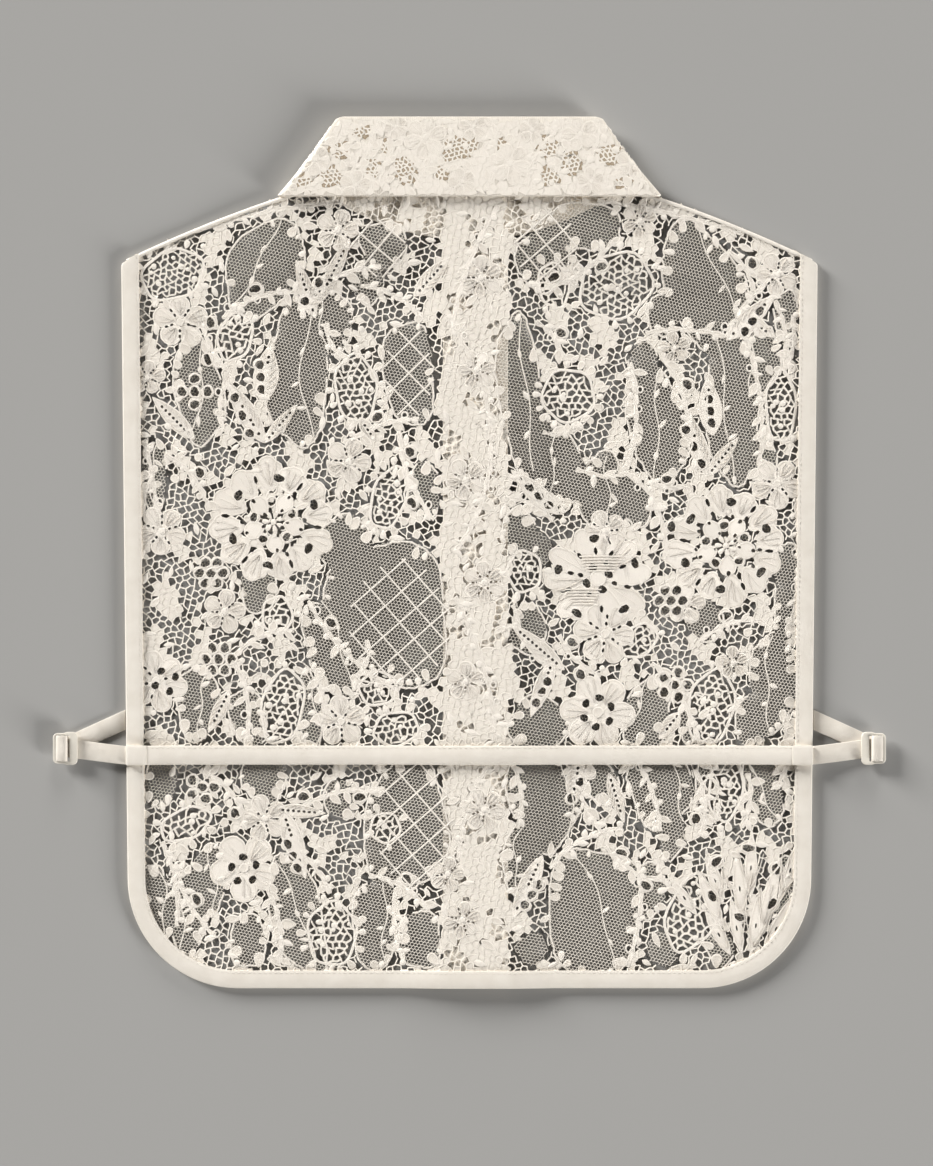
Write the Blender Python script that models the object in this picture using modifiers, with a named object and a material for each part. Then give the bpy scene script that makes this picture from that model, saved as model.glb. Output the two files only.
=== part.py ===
"""Lace dickey: a buttoned lace bib, front and back, under a flat shirt collar.

The garment lies flat on its front, seen from the back. X runs to the wearer's right,
Y towards the collar and Z up, out of the back. Z = 0 is the surface that it lies on,
and X = Y = 0 is the middle of its outline. Sizes are in millimetres; MM turns them
into metres where a mesh is made.
"""
import math

import bmesh
import bpy
from mathutils import Matrix

MM = 0.001

# --- Driving dimensions ---------------------------------------------------------
GAP = 0.3                  # between neighbouring pieces
CLOTH = 1.0                # a wall of single lace, placket, stand or elastic
DOUBLE = 1.4               # a doubled wall: collar fall, folded binding, button
SHOULDER_WIDTH = 380.0     # from one shoulder tip to the other
LENGTH = 475.0             # from the collar's fold to the hem
LOW_WIDTH = 373.0          # across the sides just above the bottom corners
CORNER_RADIUS = 60.0       # of the bottom corners
TIP_RADIUS = 2.5           # of the binding at the shoulder tips
BINDING_WIDTH = 9.5
NECK_HALF = 86.0           # from the middle to the neck end of a shoulder seam
SHOULDER_DROP = 40.4       # from that end down to the shoulder tip
SHOULDER_BOW = 2.5         # how far a shoulder seam bows out of a straight line
SEAM_ROLL = 1.2            # the shoulder seams roll to the front by this much
FALL_TOP_HALF = 74.3       # half the collar's folded edge
FALL_LOW_HALF = 104.8      # half its lower edge
FALL_DEPTH = 43.3          # from the folded edge to the lower edge
FALL_BOW = 1.0             # how far the slanting sides curve in
FALL_CORNER = 5.0          # radius where the folded edge turns into the sides
FALL_LIFT = 0.5            # the lower edge rises by this much round the side folds
STAND_TOP_HALF = 69.0
STAND_SEAM = 0.6           # between the neckline and the stand
STAND_BELOW_FOLD = 1.1     # from the collar's fold to the stand's top edge
ROLL_Y = 202.5             # where the leaves' folded edges meet at the front
FRONT_NECK_DROP = 29.3     # of the front neckline below the back one, at the middle
LEAF_POINT = (28.0, 173.0)     # a collar point, under the front
LEAF_CORNER = 42.0         # where the leaf's lower edge turns down to its point
PLACKET_X = 3.3            # the buttoned middle lies a little off centre
PLACKET_WIDTH = 35.5
WAIST_Y = -110.3
WAIST_WIDTH = 10.3
ELASTIC_WIDTH = 10.0
BUTTON_RADIUS = 5.0
BUTTON_Y = (184.0, 130.0, 45.0, -40.0, -125.0)
SLIDER_Y = -106.6
SLIDER_OUT = 227.1         # the sliders' outer edges, from the middle

# --- Sizes that follow ----------------------------------------------------------
HALF_WIDTH = SHOULDER_WIDTH / 2
TOP_Y = LENGTH / 2
HEM_Y = -LENGTH / 2
FALL_LOW_Y = TOP_Y - FALL_DEPTH
NECK_Y = 199.3             # the back neckline, a little above the fall's lower edge
TIP_Y = NECK_Y - SHOULDER_DROP
FRONT_NECK_Y = NECK_Y - FRONT_NECK_DROP
CORNER_Y = HEM_Y + CORNER_RADIUS
PLACKET_LEFT = PLACKET_X - PLACKET_WIDTH / 2
PLACKET_RIGHT = PLACKET_X + PLACKET_WIDTH / 2

# Heights of the undersides of the layers, from the surface up
OUTER_Z = DOUBLE + GAP             # over a collar leaf or a button
INNER_Z = OUTER_Z + CLOTH + GAP    # the under placket and the stand's under end
BACK_Z = INNER_Z + CLOTH + GAP     # the back, where it crosses all of these
FALL_Z = BACK_Z + CLOTH + GAP
FIELD_Z = CLOTH + GAP              # the back, lying on the front alone
BINDING_LIFT = DOUBLE - CLOTH      # the back binding's underside above the back's
SIDE_BACK_Z = INNER_Z              # the back, where the neck's side folds

# Where the layers rise: distances from the placket's middle, from the middle, and Y
PLACKET_FLAT = PLACKET_WIDTH / 2 + 0.5
PLACKET_FOOT = PLACKET_FLAT + 25.5
NECK_FLAT_HALF = 60.0
NECK_FOLD_HALF = 104.0
NECK_FOOT_HALF = 150.0
NECK_FOOT_Y = 140.0
NECK_FLAT_Y = 171.0
WAIST_FOOT_X = 150.0
WAIST_FLAT_X = 176.0
EDGE_HALF = HALF_WIDTH + 5.0
WAIST_END_Z = OUTER_Z + DOUBLE + GAP + CLOTH + GAP     # over binding and elastic

NECK_HALVES = (NECK_FLAT_HALF, NECK_HALF, NECK_FOLD_HALF, NECK_FOOT_HALF, EDGE_HALF)
WAIST_HALVES = (WAIST_FOOT_X, WAIST_FLAT_X, EDGE_HALF)

# --- The lace motifs that have openings over 4 mm --------------------------------
# flowers: x, y, then one ring of openings: radius, count, half length, half width
FLOWER_RINGS = (
    (-107.0, 17.0, 11.0, 5, 2.3, 2.1),
    (-107.0, 17.0, 24.0, 6, 3.0, 2.2),
    (140.0, 4.0, 11.0, 5, 2.3, 2.1),
    (140.0, 4.0, 24.0, 6, 3.0, 2.2),
    (70.0, -14.0, 6.5, 4, 2.5, 2.2),
    (70.0, -14.0, 22.0, 5, 3.0, 2.1),
    (70.0, -87.0, 8.0, 6, 2.3, 2.1),
    (-123.0, -173.0, 7.0, 5, 2.3, 2.1),
    (-166.0, -70.0, 6.0, 4, 2.2, 2.1),
    (150.0, -180.0, 19.0, 6, 3.2, 2.1),
)
# leaves: base x, base y, tip x, tip y, openings along the midrib
LEAVES = (
    (-113.0, 82.0, -115.0, 110.0, 3),
    (-117.0, 58.0, -131.0, 92.0, 5),
    (-94.0, 132.0, -78.0, 153.0, 3),
    (133.0, 64.0, 130.0, 91.0, 3),
    (130.0, 42.0, 115.0, 74.0, 5),
    (146.0, 115.0, 163.0, 138.0, 3),
    (-102.0, -152.0, -91.0, -179.0, 3),
    (63.0, -120.0, 53.0, -139.0, 3),
    (42.0, -175.0, 26.0, -198.0, 3),
    (49.0, 21.0, 27.0, 41.0, 3),
    (46.0, -64.0, 33.0, -88.0, 3),
)
# clusters of coarse cells: x, y, cells around the middle one, pitch
CELL_CLUSTERS = (
    (-141.0, -11.0, 6, 6.4),
    (110.0, -26.0, 6, 6.4),
    (-137.0, -58.0, 6, 7.0),
    (-150.0, 88.0, 4, 7.0),
    (-146.0, -128.0, 5, 6.6),
    (112.0, -72.0, 5, 7.0),
)
# vines with openings beside them: start x, start y, end x, end y, bow, openings
VINES = (
    (-135.0, 128.0, -93.0, 142.0, 5.0, 1),
    (-147.0, 133.0, -133.0, 100.0, -3.0, 2),
    (-68.0, 59.0, -27.0, 73.0, 4.0, 1),
    (-38.0, 67.0, -19.0, 18.0, -5.0, 2),
    (-88.0, -26.0, -38.0, -75.0, -6.0, 2),
    (-166.0, 54.0, -142.0, 23.0, 4.0, 1),
    (-147.0, -118.0, -120.0, -149.0, 4.0, 2),
    (-102.0, -146.0, -46.0, -129.0, 6.0, 2),
    (-55.0, -176.0, -22.0, -195.0, 4.0, 1),
    (-160.0, -170.0, -139.0, -209.0, -4.0, 1),
    (36.0, 143.0, 78.0, 170.0, -5.0, 2),
    (36.0, 126.0, 52.0, 105.0, 3.0, 1),
    (104.0, 108.0, 120.0, 70.0, 3.0, 1),
    (96.0, 40.0, 120.0, 37.0, -3.0, 1),
    (99.0, 29.0, 107.0, -4.0, 3.0, 1),
    (49.0, -45.0, 71.0, -67.0, -3.0, 2),
    (126.0, -48.0, 159.0, -37.0, 4.0, 1),
    (74.0, -160.0, 109.0, -179.0, -5.0, 2),
    (123.0, -118.0, 126.0, -154.0, 4.0, 2),
    (167.0, 138.0, 172.0, 100.0, 3.0, 1),
    (141.0, 165.0, 155.0, 143.0, 3.0, 1),
)
LEAF_OPENING = (2.6, 2.2)      # half sizes of an opening in a midrib
VINE_OPENING = (3.0, 2.2)
CELL_OPENING = 2.5
VINE_OFFSET = 4.6              # of an opening's middle from its vine
THREAD = 1.2                   # least width of lace left between two openings
MARGIN = 4.0                   # of uncut lace along edges, placket and waist

# --- Slider and elastic ---------------------------------------------------------
SLIDER_Z = 2.7
SLIDER_THICK = 1.6
SLIDER_HALF = 8.95
SLIDER_OUTER_HALF = 8.3
SLIDER_CORNER = 2.4
SLOT_HALF = 7.2
# bars of the slider, as distances from its outer edge: start, end
OUTER_SLOT = (2.0, 4.6)
INNER_SLOT = (5.8, 9.0)
SLIDER_LENGTH = 13.3
# one elastic: x, y, z of its middle, turn of its width from Y in degrees, share of width
ELASTIC_ROUTE = (
    (178.5, -110.3, 3.9, 0.0, 1.0),
    (188.0, -110.3, 3.9, 0.0, 1.0),
    (192.0, -109.9, 3.65, -4.0, 1.0),
    (199.0, -109.1, 2.8, -6.0, 1.0),
    (206.0, -108.2, 2.05, -6.0, 1.0),
    (212.0, -107.5, 1.8, -5.0, 1.0),
    (216.6, -106.9, 1.8, -2.0, 1.0),
    (218.4, -106.6, 1.87, 0.0, 1.0),
    (219.35, -106.6, 2.5, 0.0, 1.0),
    (219.85, -106.6, 3.5, 0.0, 1.0),
    (220.35, -106.6, 4.7, 0.0, 1.0),
    (221.8, -106.6, 5.4, 0.0, 1.0),
    (223.3, -106.6, 4.9, 0.0, 1.0),
    (223.65, -106.6, 3.5, 0.0, 1.0),
    (223.35, -106.5, 2.15, 0.0, 1.0),
    (221.8, -106.3, 1.55, 0.0, 1.0),
    (220.3, -105.8, 1.2, 3.0, 1.0),
    (218.9, -105.2, 0.68, 7.0, 1.0),
    (217.2, -104.4, 0.5, 12.0, 1.0),
    (213.8, -102.9, 0.5, 20.0, 1.0),
    (209.0, -100.7, 0.5, 24.5, 1.0),
    (196.0, -94.8, 0.5, 24.5, 1.0),
    (187.9, -91.1, 0.5, 0.0, 1.1),
)

# --- Materials: colour, roughness --------------------------------------------------
LACE = ("lace", (0.86, 0.82, 0.74), 0.85)
BINDING = ("binding", (0.88, 0.84, 0.76), 0.8)
SATIN = ("satin_elastic", (0.84, 0.79, 0.71), 0.45)
PLASTIC = ("slider_plastic", (0.87, 0.83, 0.76), 0.35)
PEARL = ("button_pearl", (0.90, 0.88, 0.83), 0.25)


def clear_file():
    for item in list(bpy.data.objects):
        bpy.data.objects.remove(item, do_unlink=True)


def add_collection(name):
    collection = bpy.data.collections.new(name)
    bpy.context.scene.collection.children.link(collection)
    return collection


def finish_of(spec):
    name, colour, roughness = spec
    material = bpy.data.materials.get(name)
    if material is None:
        material = bpy.data.materials.new(name)
        material.use_nodes = True
        shader = material.node_tree.nodes["Principled BSDF"]
        shader.inputs["Base Color"].default_value = (*colour, 1.0)
        shader.inputs["Roughness"].default_value = roughness
        shader.inputs["Metallic"].default_value = 0.0
    return material


def add_piece(name, mesh, finish=None):
    piece = bpy.data.objects.new(name, mesh)
    if finish:
        mesh.materials.clear()
        mesh.materials.append(finish_of(finish))
        PIECES.objects.link(piece)
    else:
        CUTTERS.objects.link(piece)
        piece.hide_render = True
        piece.display_type = "WIRE"
    return piece


def share(value, start, end):
    """0 at start, 1 at end, straight in between and held level outside them."""
    return min(1.0, max(0.0, (value - start) / (end - start)))


# --- Heights of the layers --------------------------------------------------------
def placket_rise(x):
    return share(abs(x - PLACKET_X), PLACKET_FOOT, PLACKET_FLAT)


def neck_rise(x, y):
    sideways = share(abs(x), NECK_FOOT_HALF, NECK_FOLD_HALF)
    return min(sideways, share(y, NECK_FOOT_Y, NECK_FLAT_Y))


def neck_lift(x):
    """How far the back is raised along its neckline."""
    middle = (BACK_Z - SIDE_BACK_Z) * share(abs(x), NECK_HALF, NECK_FLAT_HALF)
    side = (SIDE_BACK_Z - FIELD_Z) * share(abs(x), NECK_FOOT_HALF, NECK_FOLD_HALF)
    return middle + side


def back_height(x, y):
    over_placket = (BACK_Z - FIELD_Z) * placket_rise(x)
    over_neck = min((BACK_Z - FIELD_Z) * share(y, NECK_FOOT_Y, NECK_FLAT_Y), neck_lift(x))
    return FIELD_Z + max(over_placket, over_neck)


def back_binding_height(x, y):
    return back_height(x, y) + BINDING_LIFT


def left_front_height(x, y):
    return max(INNER_Z * placket_rise(x), OUTER_Z * neck_rise(x, y))


def right_front_height(x, y):
    return OUTER_Z * max(placket_rise(x), neck_rise(x, y))


def outer_height(x, y):
    return OUTER_Z


def inner_height(x, y):
    return INNER_Z


def waist_height(x, y):
    low = back_height(x, y) + CLOTH + GAP
    return low + (WAIST_END_Z - low) * share(abs(x), WAIST_FOOT_X, WAIST_FLAT_X)


# --- Outlines ---------------------------------------------------------------------
def shoulder_y(x):
    along = (abs(x) - NECK_HALF) / (HALF_WIDTH - NECK_HALF)
    return NECK_Y - SHOULDER_DROP * along + 4 * SHOULDER_BOW * along * (1 - along)


def side_x(y):
    """The outer edge of the right side binding."""
    along = (TIP_Y - y) / (TIP_Y - CORNER_Y)
    return HALF_WIDTH + (LOW_WIDTH / 2 - HALF_WIDTH) * along


def right_edge(inset):
    """The right edge from the shoulder down to the middle of the hem, moved in."""
    top_x = side_x(TIP_Y) - inset
    points = []
    if inset < TIP_RADIUS:
        for step in range(5):
            angle = math.radians(60 - 15 * step)
            x = top_x - TIP_RADIUS * (1 - math.cos(angle))
            points.append((x, TIP_Y - TIP_RADIUS * (1 - math.sin(angle))))
    else:
        points.append((top_x, shoulder_y(top_x)))
    radius = CORNER_RADIUS - inset
    middle_x = side_x(CORNER_Y) - CORNER_RADIUS
    for step in range(13):
        angle = math.radians(-7.5 * step)
        points.append((middle_x + radius * math.cos(angle), CORNER_Y + radius * math.sin(angle)))
    return points


def mirrored(points):
    return [(-x, y) for x, y in reversed(points)]


def panel_edge(roll):
    """Right shoulder, side and hem of a panel; its shoulder may lie lower by a roll."""
    edge = right_edge(BINDING_WIDTH + GAP)
    width = edge[0][0] - NECK_HALF
    steps = [NECK_HALF + width * step / 6 for step in range(7)]
    return [(x, shoulder_y(x) - roll) for x in steps] + edge[1:]


def back_outline():
    right = panel_edge(0.0)
    return right + mirrored(right)


def front_neck_y(x):
    return FRONT_NECK_Y + FRONT_NECK_DROP * (x / NECK_HALF) ** 2


def front_outline(middle_x):
    """A front from its placket seam, at middle_x, to the right; mirrored for the left."""
    steps = [middle_x + (NECK_HALF - middle_x) * step / 8 for step in range(8)]
    neck = [(x, front_neck_y(x) - GAP) for x in steps]
    return neck + panel_edge(SEAM_ROLL) + [(middle_x, HEM_Y + BINDING_WIDTH + GAP)]


def back_binding_outline():
    outer = right_edge(0.0)
    inner = right_edge(BINDING_WIDTH)
    return outer + mirrored(outer) + [(-x, y) for x, y in inner] + inner[::-1]


def front_binding_outline(middle_x):
    outer = right_edge(0.0) + [(middle_x, HEM_Y)]
    inner = right_edge(BINDING_WIDTH) + [(middle_x, HEM_Y + BINDING_WIDTH)]
    return outer + inner[::-1]


def placket_outline():
    steps = [PLACKET_LEFT + PLACKET_WIDTH * step / 4 for step in range(5)]
    neck = [(x, front_neck_y(x) - GAP) for x in steps]
    return neck + [(PLACKET_RIGHT, HEM_Y), (PLACKET_LEFT, HEM_Y)]


def waist_outline():
    half = side_x(WAIST_Y)
    low = WAIST_Y - WAIST_WIDTH / 2
    high = WAIST_Y + WAIST_WIDTH / 2
    return [(half, high), (half, low), (-half, low), (-half, high)]


# --- Openings in the lace -----------------------------------------------------------
def ring_openings():
    for x, y, radius, count, half_length, half_width in FLOWER_RINGS:
        for index in range(count):
            angle = math.tau * index / count + 0.4
            across = angle + math.pi / 2
            yield (x + radius * math.cos(angle), y + radius * math.sin(angle),
                   half_length, half_width, across)


def midrib_openings():
    half_length, half_width = LEAF_OPENING
    for base_x, base_y, tip_x, tip_y, count in LEAVES:
        angle = math.atan2(tip_y - base_y, tip_x - base_x)
        for index in range(count):
            along = 0.5 + (index - (count - 1) / 2) * 0.72 / count
            x = base_x + (tip_x - base_x) * along
            y = base_y + (tip_y - base_y) * along
            yield (x, y, half_length, half_width, angle)


def cell_openings():
    for x, y, count, pitch in CELL_CLUSTERS:
        yield (x, y, CELL_OPENING, CELL_OPENING, 0.0)
        for index in range(count):
            angle = math.tau * index / count
            yield (x + pitch * math.cos(angle), y + pitch * math.sin(angle),
                   CELL_OPENING, CELL_OPENING, angle)


def vine_openings():
    half_length, half_width = VINE_OPENING
    for start_x, start_y, end_x, end_y, bow, count in VINES:
        run_x, run_y = end_x - start_x, end_y - start_y
        length = math.hypot(run_x, run_y)
        for index in range(count):
            along = (index + 0.5) / count
            aside = 4 * bow * along * (1 - along) + VINE_OFFSET * (-1) ** index
            x = start_x + run_x * along - run_y / length * aside
            y = start_y + run_y * along + run_x / length * aside
            yield (x, y, half_length, half_width, math.atan2(run_y, run_x))


def in_open_lace(x, y, reach):
    """Whether an opening keeps clear of edges, placket, collar and waist band."""
    room = reach + MARGIN
    if abs(x - PLACKET_X) < PLACKET_WIDTH / 2 + room or abs(y - WAIST_Y) < WAIST_WIDTH / 2 + room:
        return False
    if y > FALL_LOW_Y - room or y > shoulder_y(max(abs(x), NECK_HALF)) - room:
        return False
    inset = BINDING_WIDTH + room
    if y < CORNER_Y and abs(x) > side_x(CORNER_Y) - CORNER_RADIUS:
        corner_x = side_x(CORNER_Y) - CORNER_RADIUS
        return math.hypot(abs(x) - corner_x, y - CORNER_Y) < CORNER_RADIUS - inset
    return abs(x) < side_x(y) - inset and y > HEM_Y + inset


def lace_openings():
    """All openings, in order of the motifs, without those that would touch another."""
    chosen = []
    for source in (cell_openings, midrib_openings, ring_openings, vine_openings):
        for opening in source():
            x, y, half_length, half_width, angle = opening
            if not in_open_lace(x, y, half_length):
                continue
            room = [math.hypot(x - o[0], y - o[1]) - max(o[2:4]) for o in chosen]
            if all(space > half_length + THREAD for space in room):
                chosen.append(opening)
    return chosen


def opening_outline(opening):
    """A hexagon with its points on the opening's oval."""
    x, y, half_length, half_width, angle = opening
    points = []
    for corner in range(6):
        turn = math.tau * corner / 6
        along = half_length * math.cos(turn)
        across = half_width * math.sin(turn)
        points.append((x + along * math.cos(angle) - across * math.sin(angle),
                       y + along * math.sin(angle) + across * math.cos(angle)))
    return points


# --- Flat pieces ----------------------------------------------------------------------
def fold_lines(halves):
    """X lines where the placket's layers rise, with further pairs either side of 0."""
    across = [PLACKET_X - PLACKET_FOOT, PLACKET_X - PLACKET_FLAT,
              PLACKET_X + PLACKET_FLAT, PLACKET_X + PLACKET_FOOT]
    for half in halves:
        across += [half, -half]
    return sorted(across)


def height_slab(name, height, thickness, halves):
    """A sheet over the whole garment at the given height, raised to its thickness."""
    across = fold_lines(halves)
    up = (HEM_Y - 5, NECK_FOOT_Y, NECK_FLAT_Y, TOP_Y)
    shape = bmesh.new()
    bmesh.ops.create_grid(shape, x_segments=len(across) - 1, y_segments=len(up) - 1, size=1.0)
    columns = sorted({round(v.co.x, 5) for v in shape.verts})
    rows = sorted({round(v.co.y, 5) for v in shape.verts})
    for vert in shape.verts:
        x = across[columns.index(round(vert.co.x, 5))]
        y = up[rows.index(round(vert.co.y, 5))]
        vert.co = (x * MM, y * MM, height(x, y) * MM)
    bmesh.ops.triangulate(shape, faces=shape.faces, quad_method="FIXED")
    raised = bmesh.ops.extrude_face_region(shape, geom=list(shape.faces))["geom"]
    top = [item for item in raised if isinstance(item, bmesh.types.BMVert)]
    bmesh.ops.translate(shape, verts=top, vec=(0.0, 0.0, thickness * MM))
    bmesh.ops.recalc_face_normals(shape, faces=shape.faces)
    mesh = bpy.data.meshes.new(name)
    shape.to_mesh(mesh)
    shape.free()
    return mesh


def flat_prism(name, loops, low, high):
    """An upright prism of one outline, less any further loops inside it."""
    curve = bpy.data.curves.new(name, "CURVE")
    curve.dimensions = "2D"
    curve.fill_mode = "BOTH"
    curve.extrude = (high - low) / 2 * MM
    for loop in loops:
        spline = curve.splines.new("POLY")
        spline.points.add(len(loop) - 1)
        for point, (x, y) in zip(spline.points, loop):
            point.co = (x * MM, y * MM, 0.0, 1.0)
        spline.use_cyclic_u = True
    holder = bpy.data.objects.new(name, curve)
    CUTTERS.objects.link(holder)
    holder.location.z = (low + high) / 2 * MM
    bpy.context.view_layer.update()
    evaluated = holder.evaluated_get(bpy.context.evaluated_depsgraph_get())
    mesh = bpy.data.meshes.new_from_object(evaluated)
    mesh.transform(holder.matrix_world)
    bpy.data.objects.remove(holder, do_unlink=True)
    bpy.data.curves.remove(curve)
    shape = bmesh.new()
    shape.from_mesh(mesh)
    bmesh.ops.remove_doubles(shape, verts=shape.verts, dist=1e-6)
    bmesh.ops.recalc_face_normals(shape, faces=shape.faces)
    shape.to_mesh(mesh)
    shape.free()
    return mesh


def add_boolean(piece, cutter, operation):
    cut = piece.modifiers.new(operation.title(), "BOOLEAN")
    cut.operation = operation
    cut.solver = "EXACT"
    cut.object = cutter


def lay(name, loops, height, thickness, finish, halves=NECK_HALVES):
    """A flat-cut piece that lies over what is under it."""
    piece = add_piece(name, height_slab(name, height, thickness, halves), finish)
    prism = flat_prism(name + "_cut", loops, -5.0, FALL_Z + 5.0)
    add_boolean(piece, add_piece(name + "_cut", prism), "INTERSECT")
    return piece


def add_panels():
    openings = lace_openings()
    cuts = [opening_outline(opening) for opening in openings]
    left = [opening_outline(opening) for opening in openings if opening[0] < PLACKET_X]
    right = [opening_outline(opening) for opening in openings if opening[0] > PLACKET_X]
    lay("back_panel", [back_outline()] + cuts, back_height, CLOTH, LACE)
    left_cut = [(-x, y) for x, y in front_outline(GAP - PLACKET_LEFT)]
    lay("front_panel_left", [left_cut] + left, left_front_height, CLOTH, LACE)
    right_cut = front_outline(PLACKET_RIGHT + GAP)
    lay("front_panel_right", [right_cut] + right, right_front_height, CLOTH, LACE)


def add_plackets():
    lay("placket_right", [placket_outline()], outer_height, CLOTH, LACE)
    lay("placket_left", [placket_outline()], inner_height, CLOTH, LACE)


def add_bindings():
    lay("binding_back", [back_binding_outline()], back_binding_height, DOUBLE, BINDING)
    left_cut = [(-x, y) for x, y in front_binding_outline(GAP - PLACKET_LEFT)]
    lay("binding_front_left", [left_cut], left_front_height, DOUBLE, BINDING)
    right_cut = front_binding_outline(PLACKET_RIGHT + GAP)
    lay("binding_front_right", [right_cut], right_front_height, DOUBLE, BINDING)
    lay("waist_band", [waist_outline()], waist_height, CLOTH, BINDING, WAIST_HALVES)


# --- Pieces that fold over: collar, stand and elastic -----------------------------------
def add_wall(name, rows, thickness, finish):
    """A sheet through rows of points, given its thickness about the middle."""
    width = len(rows[0])
    mesh = bpy.data.meshes.new(name)
    verts = [(x * MM, y * MM, z * MM) for row in rows for x, y, z in row]
    faces = []
    for row in range(len(rows) - 1):
        for column in range(width - 1):
            first = row * width + column
            faces.append((first, first + 1, first + width + 1, first + width))
    mesh.from_pydata(verts, [], faces)
    piece = add_piece(name, mesh, finish)
    wall = piece.modifiers.new("Wall", "SOLIDIFY")
    wall.thickness = thickness * MM
    wall.offset = 0.0
    wall.use_even_offset = True
    return piece


def fall_row(top, low, height, bow):
    """Four points from the folded edge down to the lower edge."""
    row = []
    for step in range(4):
        down = step / 3
        inward = 4 * bow * down * (1 - down)
        x = top[0] + (low[0] - top[0]) * down
        row.append((x - math.copysign(inward, x), top[1] + (low[1] - top[1]) * down, height))
    return row


def fall_drop(x):
    """How far the rounded corner lies below the folded edge."""
    centre = FALL_TOP_HALF - DOUBLE / 2 - FALL_CORNER
    into = max(0.0, abs(x) - centre)
    return FALL_CORNER - math.sqrt(max(0.0, FALL_CORNER ** 2 - into ** 2))


def fall_half(side):
    """Rows of one half of the fall: its leaf, its side fold and half its back."""
    low_z = DOUBLE / 2
    high_z = FALL_Z + DOUBLE / 2
    turn = (high_z - low_z) / 2
    flat_top = FALL_TOP_HALF - turn - DOUBLE / 2
    flat_low = FALL_LOW_HALF - turn - DOUBLE / 2
    leaf_top_y = TOP_Y - FALL_CORNER - 0.5
    rows = []
    for along in (0.0, 0.05, 0.1, 0.14, 0.19, 0.25, 0.4, 0.6, 0.8, 0.95):
        top_x = 1.5 + (flat_top - 1.5) * along
        low_x = LEAF_POINT[0] + (flat_low - LEAF_POINT[0]) * along
        top_y = ROLL_Y + (leaf_top_y - ROLL_Y) * along ** 2
        dip = share(low_x, LEAF_CORNER, LEAF_POINT[0])
        low_y = FALL_LOW_Y + (LEAF_POINT[1] - FALL_LOW_Y) * dip * dip * (3 - 2 * dip)
        rows.append(fall_row((side * top_x, top_y), (side * low_x, low_y), low_z, 0.0))
    for step in range(7):
        angle = math.radians(-90 + 30 * step)
        out = turn * math.cos(angle)
        top_x = flat_top + out
        rounded_y = TOP_Y - fall_drop(top_x)
        top_y = rounded_y if angle > 0 else leaf_top_y + 0.5 * math.cos(angle)
        height = (low_z + high_z) / 2 + turn * math.sin(angle)
        low = (side * (flat_low + out), FALL_LOW_Y + FALL_LIFT * math.cos(angle))
        rows.append(fall_row((side * top_x, top_y), low, height, FALL_BOW))
    for along in (0.97, 0.93, 0.85, 0.6, 0.3):
        top_x = flat_top * along
        rows.append(fall_row((side * top_x, TOP_Y - fall_drop(top_x)),
                             (side * flat_low * along, FALL_LOW_Y),
                             high_z, FALL_BOW * share(along, 0.6, 1.0)))
    return rows


def add_fall():
    left = fall_half(-1)
    right = fall_half(1)
    add_wall("collar_fall", left + right[::-1], DOUBLE, LACE)


def stand_row(side, along, height, low_y=NECK_Y, lowered=0.0):
    """The stand from its neckline edge to its top edge, at a share of its half width."""
    low_x = side * NECK_HALF * along
    high_x = side * STAND_TOP_HALF * along
    top_y = TOP_Y - STAND_BELOW_FOLD - lowered
    return [(low_x, low_y + STAND_SEAM, height), (high_x, top_y, height)]


def stand_front(side, end):
    """Front rows of the stand, from its end past the middle out to the side."""
    rows = []
    count = 10
    for index in range(count + 1):
        along = end + (0.97 - end) * index / count
        x = side * NECK_HALF * along
        lift = (INNER_Z - OUTER_Z) * placket_rise(x) if side < 0 else 0.0
        lowered = FALL_CORNER + (TOP_Y - FALL_CORNER - ROLL_Y) * (1 - along ** 2)
        height = OUTER_Z + CLOTH / 2 + lift
        rows.append(stand_row(side, along, height, front_neck_y(x), lowered))
    return rows


def stand_side(side):
    """The fold from the front of the stand to its back."""
    low = OUTER_Z + CLOTH / 2
    high = SIDE_BACK_Z + CLOTH / 2
    turn = (high - low) / 2
    rows = []
    for step in range(5):
        angle = math.radians(-90 + 45 * step)
        row = stand_row(side, 0.985, (low + high) / 2 + turn * math.sin(angle))
        out = side * turn * math.cos(angle)
        rows.append([(x + out, y, z) for x, y, z in row])
    return rows


def stand_back(side):
    rows = []
    for along in (0.93, 0.82, 0.70, 0.35):
        lift = neck_lift(NECK_HALF * along) + FIELD_Z + CLOTH / 2
        rows.append(stand_row(side, along, lift))
    return rows


def add_stand():
    left_end = -PLACKET_RIGHT / NECK_HALF
    right_end = PLACKET_LEFT / NECK_HALF
    left = stand_front(-1, left_end) + stand_side(-1) + stand_back(-1)
    right = stand_front(1, right_end) + stand_side(1) + stand_back(1)
    add_wall("collar_stand", left + right[::-1], CLOTH, LACE)


def add_elastic(name, side):
    rows = []
    for x, y, z, turn, spread in ELASTIC_ROUTE:
        angle = math.radians(turn)
        half = ELASTIC_WIDTH / 2 * spread
        across_x = half * math.sin(angle)
        across_y = half * math.cos(angle)
        rows.append([(side * (x + across_x), y + across_y, z),
                     (side * (x - across_x), y - across_y, z)])
    add_wall(name, rows, CLOTH, SATIN)


# --- Sliders and buttons ------------------------------------------------------------------
def corner_arc(x, y, radius, start):
    """A quarter circle about a point, from a start angle in degrees."""
    turns = [math.radians(start + 30 * step) for step in range(4)]
    return [(x + radius * math.cos(turn), y + radius * math.sin(turn)) for turn in turns]


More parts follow.
